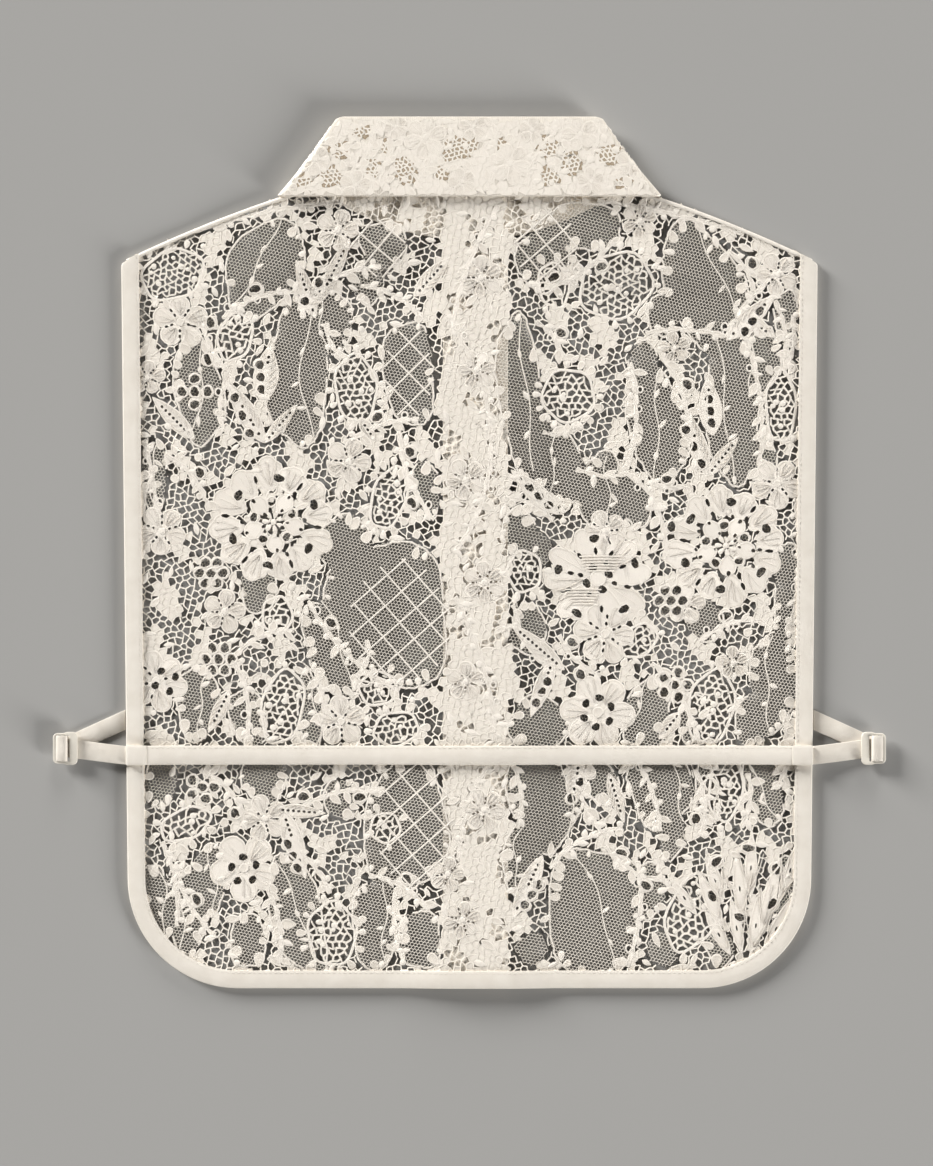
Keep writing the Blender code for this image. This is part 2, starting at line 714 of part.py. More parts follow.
def slider_loops():
    """The left slider's outline and its two slots, as seen from above."""
    out, inner = -SLIDER_OUT, SLIDER_LENGTH - SLIDER_OUT
    middle = (out + inner) / 2
    radius = SLIDER_CORNER
    high = SLIDER_HALF - radius
    outer_high = SLIDER_OUTER_HALF - radius
    upper = (corner_arc(inner - radius, high, radius, 0)
             + [(middle + 1, SLIDER_HALF), (middle - 1, SLIDER_OUTER_HALF)]
             + corner_arc(out + radius, outer_high, radius, 90))
    loops = [upper + [(x, -y) for x, y in reversed(upper)]]
    for start, end in (OUTER_SLOT, INNER_SLOT):
        loops.append([(out + end, SLOT_HALF), (out + start, SLOT_HALF),
                      (out + start, -SLOT_HALF), (out + end, -SLOT_HALF)])
    return [[(x, y + SLIDER_Y) for x, y in loop] for loop in loops]


def add_sliders():
    """The left slider, and the right one as its mirror image."""
    left = flat_prism("slider_left", slider_loops(), SLIDER_Z, SLIDER_Z + SLIDER_THICK)
    right = left.copy()
    right.name = "slider_right"
    right.transform(Matrix.Diagonal((-1.0, 1.0, 1.0, 1.0)))
    right.flip_normals()
    add_piece("slider_left", left, PLASTIC)
    add_piece("slider_right", right, PLASTIC)


def add_button(name, y):
    """A plain button with a raised rim on its face, which points down."""
    radius = BUTTON_RADIUS
    profile = ((0.0, DOUBLE), (radius - 0.6, DOUBLE), (radius, DOUBLE / 2), (radius - 0.4, 0.0),
               (radius - 1.4, 0.0), (radius - 1.9, 0.3), (0.0, 0.3))
    mesh = bpy.data.meshes.new(name)
    verts = [(x * MM, 0.0, z * MM) for x, z in profile]
    mesh.from_pydata(verts, [(i, i + 1) for i in range(len(verts) - 1)], [])
    button = add_piece(name, mesh, PEARL)
    button.location = (PLACKET_X * MM, y * MM, 0.0)
    screw = button.modifiers.new("Turn", "SCREW")
    screw.steps = 16
    screw.render_steps = 16
    screw.use_merge_vertices = True
    screw.merge_threshold = 0.0001


clear_file()
PIECES = add_collection("lace_dickey")
CUTTERS = add_collection("cutters")
add_panels()
add_plackets()
add_bindings()
add_fall()
add_stand()
add_elastic("elastic_left", -1)
add_elastic("elastic_right", 1)
add_sliders()
for index, button_y in enumerate(BUTTON_Y):
    add_button(f"button_{index + 1}", button_y)
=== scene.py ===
# %% [markdown]
# # Lace dickey collar
#
# A dickey is a shirt collar on a bib that is worn under a jumper. This one is guipure
# lace, and lies on its front. The CAD solids give every piece's place and size. This
# script gives each piece its looks: lace with real openings, folded bindings, satin
# elastics and moulded sliders.
#
# All pattern work is done in millimetres, and MM turns it into metres at the end.

import math

import bmesh
import bpy
import numpy as np
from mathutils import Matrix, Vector
from mathutils.bvhtree import BVHTree
from mathutils.geometry import delaunay_2d_cdt


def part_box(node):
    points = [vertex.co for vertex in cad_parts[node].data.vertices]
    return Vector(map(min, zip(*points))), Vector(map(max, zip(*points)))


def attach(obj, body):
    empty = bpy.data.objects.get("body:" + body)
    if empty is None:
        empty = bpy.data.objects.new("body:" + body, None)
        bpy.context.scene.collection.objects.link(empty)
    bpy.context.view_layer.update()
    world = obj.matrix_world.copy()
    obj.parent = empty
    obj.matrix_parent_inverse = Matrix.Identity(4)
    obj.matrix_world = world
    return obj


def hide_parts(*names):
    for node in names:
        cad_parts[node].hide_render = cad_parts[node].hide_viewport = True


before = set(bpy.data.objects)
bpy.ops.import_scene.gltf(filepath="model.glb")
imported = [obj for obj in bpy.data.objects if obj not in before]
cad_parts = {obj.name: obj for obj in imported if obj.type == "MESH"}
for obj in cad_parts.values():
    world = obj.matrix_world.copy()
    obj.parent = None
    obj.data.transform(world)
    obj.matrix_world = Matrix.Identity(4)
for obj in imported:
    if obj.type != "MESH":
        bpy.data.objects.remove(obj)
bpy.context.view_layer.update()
MM = 0.001
print("nodes:", len(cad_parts))

# %% [markdown]
# ## Where the layers lie
#
# Cloth that is laid flat still lies in layers, each on the one below, and the plackets,
# the neck and the collar stand lift the back in gentle ramps. A cloth simulation could
# find those ramps. Functions of x and y are quicker and exact, and they are the ramps
# that the solids have. Their levels come from the solids' boxes.

# %% Levels, from the solids' boxes
GAP = 0.3  # between neighbouring layers
CLOTH = 1.0  # the wall of single cloth
DOUBLE = 1.4  # the wall of folded cloth


def box_mm(node):
    """A solid's lowest and highest corners in millimetres."""
    low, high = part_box(node)
    return np.array(low) / MM, np.array(high) / MM


over_low, over_high = box_mm("placket_right")
under_low, under_high = box_mm("placket_left")
PLACKET_X = (over_low[0] + over_high[0]) / 2
PLACKET_HALF = (over_high[0] - over_low[0]) / 2
OUTER_Z = over_low[2]
INNER_Z = under_low[2]
BACK_Z = under_high[2] + GAP
FIELD_Z = CLOTH + GAP
print("placket middle", round(PLACKET_X, 2), "back over it at", round(BACK_Z, 2))

# %% Ramps between the levels
# Each ramp rises from its foot to its flat top: distances from the placket's middle, then
# from the garment's middle, then Y
PLACKET_FLAT = PLACKET_HALF + 0.5
PLACKET_FOOT = PLACKET_FLAT + 25.5
NECK_FLAT_HALF, NECK_HALF, NECK_FOLD_HALF, NECK_FOOT_HALF = 60.0, 86.0, 104.0, 150.0
WAIST_FOOT_X, WAIST_FLAT_X = 150.0, 176.0
NECK_FOOT_Y, NECK_FLAT_Y = 140.0, 171.0


def share(value, start, end):
    """0 at start, 1 at end, straight in between and held level outside them."""
    return np.clip((value - start) / (end - start), 0.0, 1.0)


def placket_rise(x):
    return share(np.abs(x - PLACKET_X), PLACKET_FOOT, PLACKET_FLAT)


def neck_rise(x, y):
    sideways = share(np.abs(x), NECK_FOOT_HALF, NECK_FOLD_HALF)
    return np.minimum(sideways, share(y, NECK_FOOT_Y, NECK_FLAT_Y))


def back_height(x, y):
    lift = (BACK_Z - INNER_Z) * share(np.abs(x), NECK_HALF, NECK_FLAT_HALF)
    lift = lift + (INNER_Z - FIELD_Z) * share(np.abs(x), NECK_FOOT_HALF, NECK_FOLD_HALF)
    neck = np.minimum((BACK_Z - FIELD_Z) * share(y, NECK_FOOT_Y, NECK_FLAT_Y), lift)
    return FIELD_Z + np.maximum((BACK_Z - FIELD_Z) * placket_rise(x), neck)


def left_front_height(x, y):
    return np.maximum(INNER_Z * placket_rise(x), OUTER_Z * neck_rise(x, y))


def right_front_height(x, y):
    return OUTER_Z * np.maximum(placket_rise(x), neck_rise(x, y))


def waist_height(x, y):
    low = back_height(x, y) + CLOTH + GAP
    end = OUTER_Z + DOUBLE + GAP + CLOTH + GAP
    return low + (end - low) * share(np.abs(x), WAIST_FOOT_X, WAIST_FLAT_X)


print("the back lies at", round(float(back_height(-120.0, 0.0)), 2), "mm away from the placket")

# %% [markdown]
# ## Outlines
#
# The bib has straight sides that narrow a little, rounded lower corners and sloped
# shoulders. The outline is worked out from the solids' boxes and the pattern's radii, and
# not read point by point, so that it can be moved in for bindings, seams and stitches.

# %% Shoulders and sides
bind_low, bind_high = box_mm("binding_back")
HALF_WIDTH = bind_high[0]
HEM_Y = bind_low[1]
TIP_RADIUS = 2.5  # of the binding at the shoulder tips
CORNER_RADIUS = 60.0  # of the bottom corners
CORNER_ARC = 94  # how long the edge runs round one of them
LOW_HALF = 186.5  # half the width just above them
BINDING = 9.5  # how wide the bindings are
CORNER_Y = HEM_Y + CORNER_RADIUS
TIP_Y = 158.9  # of the shoulder tips
NECK_Y = 199.3  # of the back neckline
FRONT_NECK_Y = 170.0  # of the front one, at its middle
SHOULDER_BOW = 2.5  # how far a shoulder bows out of a straight line


def shoulder_y(x):
    along = (np.abs(x) - NECK_HALF) / (HALF_WIDTH - NECK_HALF)
    return NECK_Y - (NECK_Y - TIP_Y) * along + 4 * SHOULDER_BOW * along * (1 - along)


def side_x(y):
    return HALF_WIDTH + (LOW_HALF - HALF_WIDTH) * (TIP_Y - y) / (TIP_Y - CORNER_Y)


print("half width at the tips", round(HALF_WIDTH, 1), "and above the corners", side_x(CORNER_Y))

# %% The whole outline
def half_edge(margin, step=4.0):
    """The right edge, moved in: from the shoulder tip down to the middle of the hem."""
    top = TIP_Y if margin < TIP_RADIUS else shoulder_y(side_x(TIP_Y) - margin)
    rows = np.linspace(top, CORNER_Y, int((top - CORNER_Y) / step))
    side = np.stack([side_x(rows) - margin, rows], 1)
    turn = np.radians(np.linspace(0, -90, int(CORNER_ARC / step) + 2))[1:]
    centre = side_x(CORNER_Y) - CORNER_RADIUS
    radius = CORNER_RADIUS - margin
    corner = np.stack([centre + radius * np.cos(turn), CORNER_Y + radius * np.sin(turn)], 1)
    hem_x = np.linspace(centre, 0, int(centre / step))[1:]
    hem = np.stack([hem_x, np.full(len(hem_x), HEM_Y + margin)], 1)
    return np.concatenate([side, corner, hem])


def mirrored(points):
    return points[::-1] * np.array([-1.0, 1.0])


def panel_outline(grow):
    """The back's outline, grown under its bindings and seams."""
    right = half_edge(BINDING - grow)
    across = np.linspace(NECK_HALF, right[0, 0], 12)
    shoulder = np.stack([across, shoulder_y(across)], 1)[:-1]
    return np.concatenate([shoulder, right, mirrored(np.concatenate([shoulder, right]))[1:]])


print("outline points:", len(panel_outline(0)))

# %% [markdown]
# ## Openings
#
# Guipure lace has openings with nothing behind them. The solids have each one over 4 mm
# cut through. They could be listed again here, but then two lists would have to agree.
# Here they are read off the back panel's top face, so the lace opens in the same places.

# %% Loops round a flat solid's top face
def cad_loops(node):
    """Closed loops of points round the top face of a flat solid."""
    shape = bmesh.new()
    shape.from_mesh(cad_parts[node].data)
    bmesh.ops.remove_doubles(shape, verts=shape.verts, dist=1e-5)
    shape.normal_update()
    follow = {}
    for edge in shape.edges:
        tops = [f for f in edge.link_faces if f.normal.z > 0.5]
        walls = [f for f in edge.link_faces if abs(f.normal.z) < 0.3]
        if tops and walls:  # an edge round the top face
            for vert in edge.verts:
                follow.setdefault(vert, []).append(edge.other_vert(vert))
    loops = []
    while follow:
        start = next(iter(follow))
        loop, here = [start], start
        while follow.get(here):
            step = follow[here].pop()
            follow[step].remove(here)
            if step is start:
                break
            loop.append(step)
            here = step
        for vert in loop:
            follow.pop(vert, None)
        loops.append(np.array([vert.co[:2] for vert in loop]) / MM)
    shape.free()
    return loops


# %% From a six-sided opening to its oval
def oval_of(loop):
    """Middle, half sizes and turn of the oval round a hexagonal opening."""
    nxt = np.roll(loop, -1, 0)
    cross = loop[:, 0] * nxt[:, 1] - nxt[:, 0] * loop[:, 1]
    area = cross.sum() / 2
    middle = ((loop + nxt) * cross[:, None]).sum(0) / (6 * area)
    p, q = loop - middle, nxt - middle
    cross = p[:, 0] * q[:, 1] - q[:, 0] * p[:, 1]
    xx = ((p[:, 0] ** 2 + p[:, 0] * q[:, 0] + q[:, 0] ** 2) * cross).sum() / 12
    yy = ((p[:, 1] ** 2 + p[:, 1] * q[:, 1] + q[:, 1] ** 2) * cross).sum() / 12
    pairs = p[:, 0] * q[:, 1] + 2 * p[:, 0] * p[:, 1] + 2 * q[:, 0] * q[:, 1] + q[:, 0] * p[:, 1]
    xy = (pairs * cross).sum() / 24
    values, vectors = np.linalg.eigh(np.array([[xx, xy], [xy, yy]]) / area)
    # a regular hexagon's second moment is 5/24 of its area times its radius squared
    small, large = np.sqrt(values * 24 / 5)
    return (*middle, large, small, math.atan2(vectors[1, 1], vectors[0, 1]))


OPENING_LIMIT = 20.0  # no opening is wider, and the panel's outline is
OPENINGS = [oval_of(loop) for loop in cad_loops("back_panel") if np.ptp(loop[:, 0]) < OPENING_LIMIT]
lengths = [2 * half_length for _, _, half_length, _, _ in OPENINGS]
print("openings:", len(OPENINGS), "from", round(min(lengths), 1), "to", round(max(lengths), 1), "mm long")

# %% [markdown]
# ## The pattern's shapes
#
# Lace is drawn before it is made. A motif is made of plates (petals, leaves, discs), cords
# and fields of cells, and each is kept as a flat shape in a Drawing first. Modelling each
# petal in 3-D at once would be simpler, but a flat drawing can be asked which places are
# covered, and the same drawing serves the back, the fronts and the placket.

# %% A drawing
rng = np.random.default_rng(11)


def away(x, y, reach, angle):
    """The point at a distance from x, y in a direction."""
    return x + reach * math.cos(angle), y + reach * math.sin(angle)


def placed(points, x, y, turn=0.0):
    """Points round 0, 0, turned and then moved to x, y."""
    cos, sin = math.cos(turn), math.sin(turn)
    return np.asarray(points, float) @ np.array([[cos, sin], [-sin, cos]]) + np.array([x, y])


class Drawing:
    """The flat shapes of a piece of lace, in lists of tuples."""

    def __init__(self):
        self.plates = []  # outline, level, root x, root y, thread direction
        self.cords = []  # path, width, level
        self.fields = []  # outline, pitch, thread width, turn
        self.eyelets = []  # x, y, half length, half width, turn
        self.pierced = []  # the same, and cut through the plates too

    def plate(self, points, x, y, turn=0.0, level=None):
        """A shape drawn round 0, 0, turned and moved to x, y, at some level over others."""
        level = rng.uniform(0, 0.16) if level is None else level
        self.plates.append((placed(points, x, y, turn), level, x, y, turn))

    def cord(self, path, width, level):
        self.cords.append((np.asarray(path), width, level))

    def pierce(self, x, y, reach, angle, half_length, half_width):
        """A small hole at a distance from x, y, with its length along the angle."""
        self.pierced.append((*away(x, y, reach, angle), half_length, half_width, angle))


lace = Drawing()
print("a point 10 mm up and to the right:", np.round(away(0, 0, 10, math.pi / 4), 1))

# %% Petals, leaves and discs
def petal_shape(length, width, lobes=3, depth=0.10, count=30):
    """A petal from its root at 0, 0 along +X, with a scalloped outer edge."""
    phi = np.linspace(-math.pi, math.pi, count, endpoint=False)
    scallop = 1 - depth * share(np.cos(phi), -0.5, 0.6) * (1 - np.abs(np.cos(lobes * phi / 1.3)))
    x = length * (0.5 + 0.5 * np.cos(phi) * scallop)
    y = width / 2 * np.sin(phi) * scallop * (0.5 + 0.62 * x / length)
    return np.stack([x, y], 1)


def leaf_shape(length, width, teeth=5, depth=0.09, count=30):
    """A pointed leaf along +X with gently toothed edges."""
    along = (1 - np.cos(np.linspace(0, math.pi, count // 2 + 1))) / 2
    half = width / 2 * np.sin(math.pi * along) ** 0.75 * (1.15 - 0.45 * along)
    half = half * (1 - depth * np.abs(np.sin(math.pi * teeth * along)))
    upper = np.stack([along * length, half], 1)
    lower = np.stack([along * length, -half], 1)
    return np.concatenate([upper, lower[-2:0:-1]])[::-1]


def disc_shape(radius, count=11, uneven=0.12):
    """A small disc with a slightly uneven edge."""
    turn = np.linspace(0, math.tau, count, endpoint=False)
    radii = radius * (1 + uneven * rng.uniform(-1, 1, count))
    return np.stack([radii * np.cos(turn), radii * np.sin(turn)], 1)


print("points in a petal and a leaf:", len(petal_shape(10, 6)), len(leaf_shape(10, 4)))

# %% Bowed lines
def curve_points(start, end, bow, count):
    """Points of a bowed line from start to end, with the bow as the height of its arc."""
    start, end = np.array(start, float), np.array(end, float)
    along = np.linspace(0, 1, count)[:, None]
    run = end - start
    normal = np.array([-run[1], run[0]]) / np.hypot(*run)
    return start + run * along + normal * bow * 4 * along * (1 - along)


def headings(path):
    """The direction in which a path runs at each of its points."""
    run = np.gradient(path, axis=0)
    return np.arctan2(run[:, 1], run[:, 0])


print("points of a bowed line:", np.round(curve_points((0, 0), (10, 0), 2, 3), 1).tolist())

# %% [markdown]
# ## Peonies
#
# The two biggest flowers have a ring of twelve petals round a second ring, a cluster of
# small petals in the middle, and holes in rings. Every petal differs a little, as in
# machine-made lace, so one function draws them with small random changes.

# %% Veins
VEIN_WIDTH = 0.42
VEIN_LEVEL = 0.30  # veins lie on their petal


def petal_veins(drawing, x, y, turn, length):
    """Three fine cords that fan out from a petal's root."""
    for spread in (-0.22, 0.0, 0.22):
        path = curve_points((length * 0.2, 0), (length * 0.82, length * spread), spread * 4, 6)
        drawing.cord(placed(path, x, y, turn), VEIN_WIDTH, VEIN_LEVEL)


# %% Peonies
PEONY_HOLES = (  # count, wander, smallest and largest size, reach, step out, share of width
    (20, 0.25, 0.030, 0.048, 0.45, 0.03, 0.8),
    (12, 0.20, 0.028, 0.044, 0.17, 0.05, 0.75),
)


def peony(drawing, x, y, radius, turn):
    """Turn is the direction of the first openings. The petals meet at the openings."""
    outer, inner, stamens = 12, 5, 7
    for index in range(outer):
        between = turn + math.tau * index / outer
        angle = turn + math.tau * (index + 0.5 + rng.uniform(-0.08, 0.08)) / outer
        reach = radius * rng.uniform(0.46, 0.60)
        shape = petal_shape(reach, radius * rng.uniform(0.50, 0.58), 3, 0.16)
        if index % 2:
            drawing.pierce(x, y, radius * rng.uniform(0.68, 0.76), between, radius * 0.075, radius * 0.03)
        drawing.pierce(x, y, radius * 0.55, between, radius * 0.04, radius * 0.032)
        root = away(x, y, radius * 0.45, angle)
        drawing.plate(shape, *root, angle, 0.10 * (index % 2))
        petal_veins(drawing, *root, angle, reach)
    for count, wander, small, large, reach, step, share_wide in PEONY_HOLES:
        for index in range(count):
            angle = turn + math.tau * (index + rng.uniform(-wander, wander)) / count
            size = radius * rng.uniform(small, large)
            drawing.pierce(x, y, radius * (reach + step * (index % 2)), angle, size, size * share_wide)
    for index in range(inner):
        angle = turn + math.tau * (index + 0.5) / inner
        shape = petal_shape(radius * 0.34, radius * 0.36, 2, 0.14)
        drawing.plate(shape, *away(x, y, radius * 0.15, angle), angle, 0.22)
    for index in range(stamens):
        angle = turn + math.tau * index / stamens
        shape = petal_shape(radius * 0.13, radius * 0.09, 1, 0.0, 10)
        drawing.plate(shape, *away(x, y, radius * 0.05, angle), angle, 0.3)
    drawing.plate(disc_shape(radius * 0.05), x, y, 0, 0.36)


PEONIES = ((-107, 17, 35, 0.4), (140, 4, 34, 0.4))
for row in PEONIES:
    peony(lace, *row)
print("plates", len(lace.plates), "holes", len(lace.pierced))

# %% [markdown]
# ## Blossoms
#
# Smaller flowers have a single ring of petals, with two holes between each pair.

# %% Blossoms
LARGE_BLOSSOM = 15  # the radius past which petals have more points


def blossom(drawing, x, y, radius, petals, turn):
    """A single ring of petals with two holes between each pair."""
    for index in range(petals):
        angle = turn + math.tau * index / petals + rng.uniform(-0.05, 0.05)
        reach = radius * rng.uniform(0.84, 0.96)
        width = min(radius * 0.98, math.tau * radius * 0.62 / petals * 1.32)
        between = angle + math.pi / petals
        drawing.pierce(x, y, radius * 0.32, between, radius * 0.05 + 0.3, radius * 0.03 + 0.3)
        outer = radius * rng.uniform(0.50, 0.58)
        drawing.pierce(x, y, outer, between, radius * 0.06 + 0.3, radius * 0.025 + 0.3)
        shape = petal_shape(reach, width, 2, 0.12, 26 if radius > LARGE_BLOSSOM else 16)
        root = away(x, y, radius * 0.10, angle)
        drawing.plate(shape, *root, angle, 0.12 * (index % 2))
        petal_veins(drawing, *root, angle, reach)
    drawing.plate(disc_shape(radius * 0.15), x, y, 0, 0.34)


BLOSSOMS = (  # x, y, radius, petals, turn
    (70, -14, 30, 10, 0.714), (70, -87, 21, 6, 0.924), (-123, -172, 19, 5, 0.89),
    (-171, -70, 17, 6, 0.75), (-66, 50, 13, 5, 1.2), (168, 38, 14, 5, 1.0),
    (-72, 176, 12, 5, 0.0), (93, 181, 10, 6, 0.4), (168, 152, 12, 5, 0.8),
    (-158, 126, 15, 5, 0.3), (74, -44, 17, 6, 0.9), (-12, -175, 10, 5, 0.1),
    (112, 112, 9, 5, 0.5), (-176, 96, 10, 5, 0.2), (74, 12, 12, 5, 0.7),
    (-70, -92, 14, 5, 0.4), (-168, 12, 14, 5, 0.9), (118, -28, 11, 5, 0.2),
    (6, 150, 12, 6, 0.5), (4, 100, 11, 6, 0.1), (-2, 40, 12, 5, 0.8), (8, -16, 12, 6, 0.6),
    (-2, -70, 11, 5, 0.3), (8, -140, 12, 6, 0.9), (-4, -200, 11, 6, 0.3), (-134, -32, 12, 5, 0.1),
    (-112, -145, 13, 5, 0.6), (144, -60, 9, 5, 0.4), (176, -110, 9, 5, 0.9),
)
for row in BLOSSOMS:
    blossom(lace, *row)
print("blossoms", len(BLOSSOMS), "plates", len(lace.plates))

# %% [markdown]
# ## Leaves
#
# A big leaf is pierced along its midrib and has veins in pairs. The leaf is turned and
# stretched from its base to its tip, so a row of the table reads like a line on a drawing.

# %% Leaves
def leaf(drawing, base_x, base_y, tip_x, tip_y, width):
    """A leaf from its base to just past its tip, pierced along its midrib and veined."""
    run_x, run_y = tip_x - base_x, tip_y - base_y
    length = math.hypot(run_x, run_y)
    turn = math.atan2(run_y, run_x)
    drawing.plate(leaf_shape(length * 1.06, width), base_x, base_y, turn)
    for index in range(int(length / 3.6)):
        drawing.pierce(base_x, base_y, length * 0.16 + index * 2.9, turn, 0.95, 0.5 + 0.03 * width)
    for index in range(2, 7):
        for side in (-1, 1):
            start = (length * index / 8, side * 1.2)
            end = (length * (index + 1.1) / 8, side * width * 0.34 * (1 - (index / 9) ** 2))
            path = curve_points(start, end, 0.3 * side, 4)
            drawing.cord(placed(path, base_x, base_y, turn), 0.4, VEIN_LEVEL)


LEAVES = (  # base x, base y, tip x, tip y, width
    (-113, 82, -109, 112, 16), (-112, 60, -131, 92, 13), (-112, 60, -95, 80, 8),
    (-84, 128, -94, 158, 10), (-94, 132, -72, 152, 12), (133, 64, 130, 94, 15),
    (130, 42, 119, 76, 12), (130, 42, 146, 62, 9), (140, 116, 166, 140, 12),
    (-102, -140, -90, -176, 13), (-106, -140, -80, -142, 9), (60, -114, 56, -136, 13),
    (40, -165, 24, -198, 12), (49, 21, 24, 44, 12), (52, -64, 24, -40, 11),
    (46, -58, 34, -88, 11), (-131, -75, -142, -97, 9), (115, -87, 104, -101, 10),
    (-150, 62, -172, 84, 11), (-30, 140, -12, 160, 11), (-80, 142, -66, 170, 9),
    (76, -120, 84, -146, 9), (150, 130, 166, 118, 9), (-60, 74, -52, 62, 8),
)
for row in LEAVES:
    leaf(lace, *row)
print("leaves", len(LEAVES), "plates", len(lace.plates))

# %% [markdown]
# ## Medallions and lattices
#
# A medallion is an oval of coarse cells with beads round it. Its cells are a net of their
# own, which is laid later, so the drawing keeps its outline and pitch. A lattice is some
# crossing cords over plain net.

# %% Medallions
def medallion(drawing, x, y, half_width, half_height, turn, pitch, beads):
    """An oval field of cells with a scalloped border and beads round it."""
    angles = np.linspace(0, math.tau, 30, endpoint=False)
    wave = 1 + 0.05 * np.sin(angles * 5 + x)
    oval = np.stack([half_width * wave * np.cos(angles), half_height * wave * np.sin(angles)], 1)
    drawing.fields.append((placed(oval, x, y, turn), pitch, pitch * 0.27, turn))
    drawing.cord(placed(np.concatenate([oval, oval[:1]]) * 1.02, x, y, turn), 1.5, 0.06)

    def spot(angle, reach):
        spread = [reach * half_width * math.cos(angle), reach * half_height * math.sin(angle)]
        return placed([spread], x, y, turn)[0]

    for index in range(beads):
        angle = math.tau * (index + rng.uniform(-0.2, 0.2)) / beads
        size = rng.uniform(2.2, 3.4)
        shape = petal_shape(size * 1.9, size * 1.6, 1, 0.04, 12)
        drawing.plate(shape, *spot(angle, 1.06), turn + angle)
    for _ in range(int(half_width * half_height / 30)):  # a few discs among the cells
        angle = rng.uniform(0, math.tau)
        reach = rng.uniform(0.1, 0.8)
        drawing.plate(disc_shape(rng.uniform(1.1, 1.9), 8), *spot(angle, reach))


MEDALLIONS = (  # x, y, half width, half height, turn, pitch of the cells, beads
    (-62, 90, 11, 18, 0.1, 3.9, 14), (54, 86, 14, 14, 0.0, 4.1, 16),
    (80, 146, 20, 17, 0.5, 4.0, 12), (170, 80, 8, 19, 0.0, 3.8, 6),
    (-162, 152, 17, 13, 0.4, 3.6, 8), (-102, -84, 11, 20, -0.2, 4.0, 3),
    (132, -84, 12, 20, -0.2, 4.0, 3), (-44, 30, 9, 17, -0.3, 3.9, 14),
    (-75, -208, 13, 17, 0.0, 4.2, 14), (140, -128, 9, 18, -0.1, 3.9, 5),
    (122, -196, 13, 22, -0.4, 4.4, 4), (-155, -148, 14, 8, 0.4, 4.2, 8),
    (30, -10, 9, 11, 0.0, 3.8, 6), (-50, -74, 10, 9, 0.2, 3.9, 8),
    (-105, -34, 8, 10, 0.0, 4.2, 2), (92, -48, 11, 8, 0.6, 4.0, 2),
    (46, 146, 8, 12, 0.2, 4.0, 6), (-128, 118, 9, 13, -0.3, 4.2, 6),
    (-46, -150, 8, 8, 0.3, 4.2, 4), (-40, -96, 12, 9, 0.2, 4.0, 6),
)
for row in MEDALLIONS:
    medallion(lace, *row)
print("fields of cells", len(lace.fields))

# %% Lattices
def lattice(drawing, x, y, half_width, half_height, turn, pitch=12.0):
    """Crossing cords over plain net."""
    reach = math.hypot(half_width, half_height)
    for across in (0.0, math.pi / 2):
        lines = int(reach / pitch)
        for index in range(-lines, lines + 1):
            path = np.stack([np.linspace(-reach, reach, 60), np.full(60, index * pitch)], 1)
            path = placed(path, 0, 0, turn + across)
            inside = (path[:, 0] / half_width) ** 2 + (path[:, 1] / half_height) ** 2 < 1
            if inside.sum() > 3:  # shorter ends are left out
                drawing.cord(path[inside][::2] + np.array([x, y]), 0.9, 0.20)


LATTICES = (  # x, y, half width, half height, turn
    (-38, -38, 28, 36, 0.72), (-30, -148, 22, 36, 0.72),
    (-33, 98, 14, 26, -0.80), (-50, 166, 16, 16, -0.70), (42, 168, 18, 20, 0.70),
)
for row in LATTICES:
    lattice(lace, *row)
print("cords", len(lace.cords))

# %% [markdown]
# ## Vines
#
# Vines fill the ground between the flowers. A vine is a stem with leaflets, discs and
# eyelets on its two sides in turn. A curve object with a bevel would make the stem alone.
# A flat outline can be joined to its leaflets and laid on the cloth with them.

# %% Vines
def eyelet(drawing, x, y):
    """A small open ring of cord."""
    radius = rng.uniform(1.4, 1.9)
    turn = np.linspace(0, math.tau, 11)
    ring = np.stack([x + radius * np.cos(turn), y + radius * 1.15 * np.sin(turn)], 1)
    drawing.cord(ring, 1.0, 0.12)
    drawing.eyelets.append((x, y, radius, radius * 1.15, 0.0))


def vine(drawing, start, end, bow, width=2.4):
    """A stem that swells and thins, with leaflets, discs and eyelets on its two sides."""
    length = math.hypot(end[0] - start[0], end[1] - start[1])
    count = max(8, int(length / 2.2))
    path = curve_points(start, end, bow, count)
    path = path + rng.normal(0, 0.25, path.shape)
    turns = headings(path)
    half = width / 2 * (0.55 + 0.85 * np.abs(np.sin(np.arange(count) * 0.9 + start[0])))
    normal = np.stack([-np.sin(turns), np.cos(turns)], 1)
    outline = np.concatenate([path + normal * half[:, None], (path - normal * half[:, None])[::-1]])
    drawing.plates.append((outline[::-1], rng.uniform(0, 0.14), *path[0], turns[0]))
    side = 1
    for index in range(2, count - 1, 2):
        x, y = path[index]
        kind = rng.uniform()
        spread = turns[index] + side * rng.uniform(0.5, 1.4)
        size = rng.uniform(4.0, 9.5)
        if kind < 0.58:
            shape = leaf_shape(size, size * rng.uniform(0.42, 0.75), 2, 0.08, 14)
            drawing.plate(shape, x, y, spread)
        elif kind < 0.84:
            shape = disc_shape(rng.uniform(1.7, 2.5))
            drawing.plate(shape, *away(x, y, width / 2 + 1.5, spread))
        else:
            eyelet(drawing, *away(x, y, 2.8, spread))
        side = -side


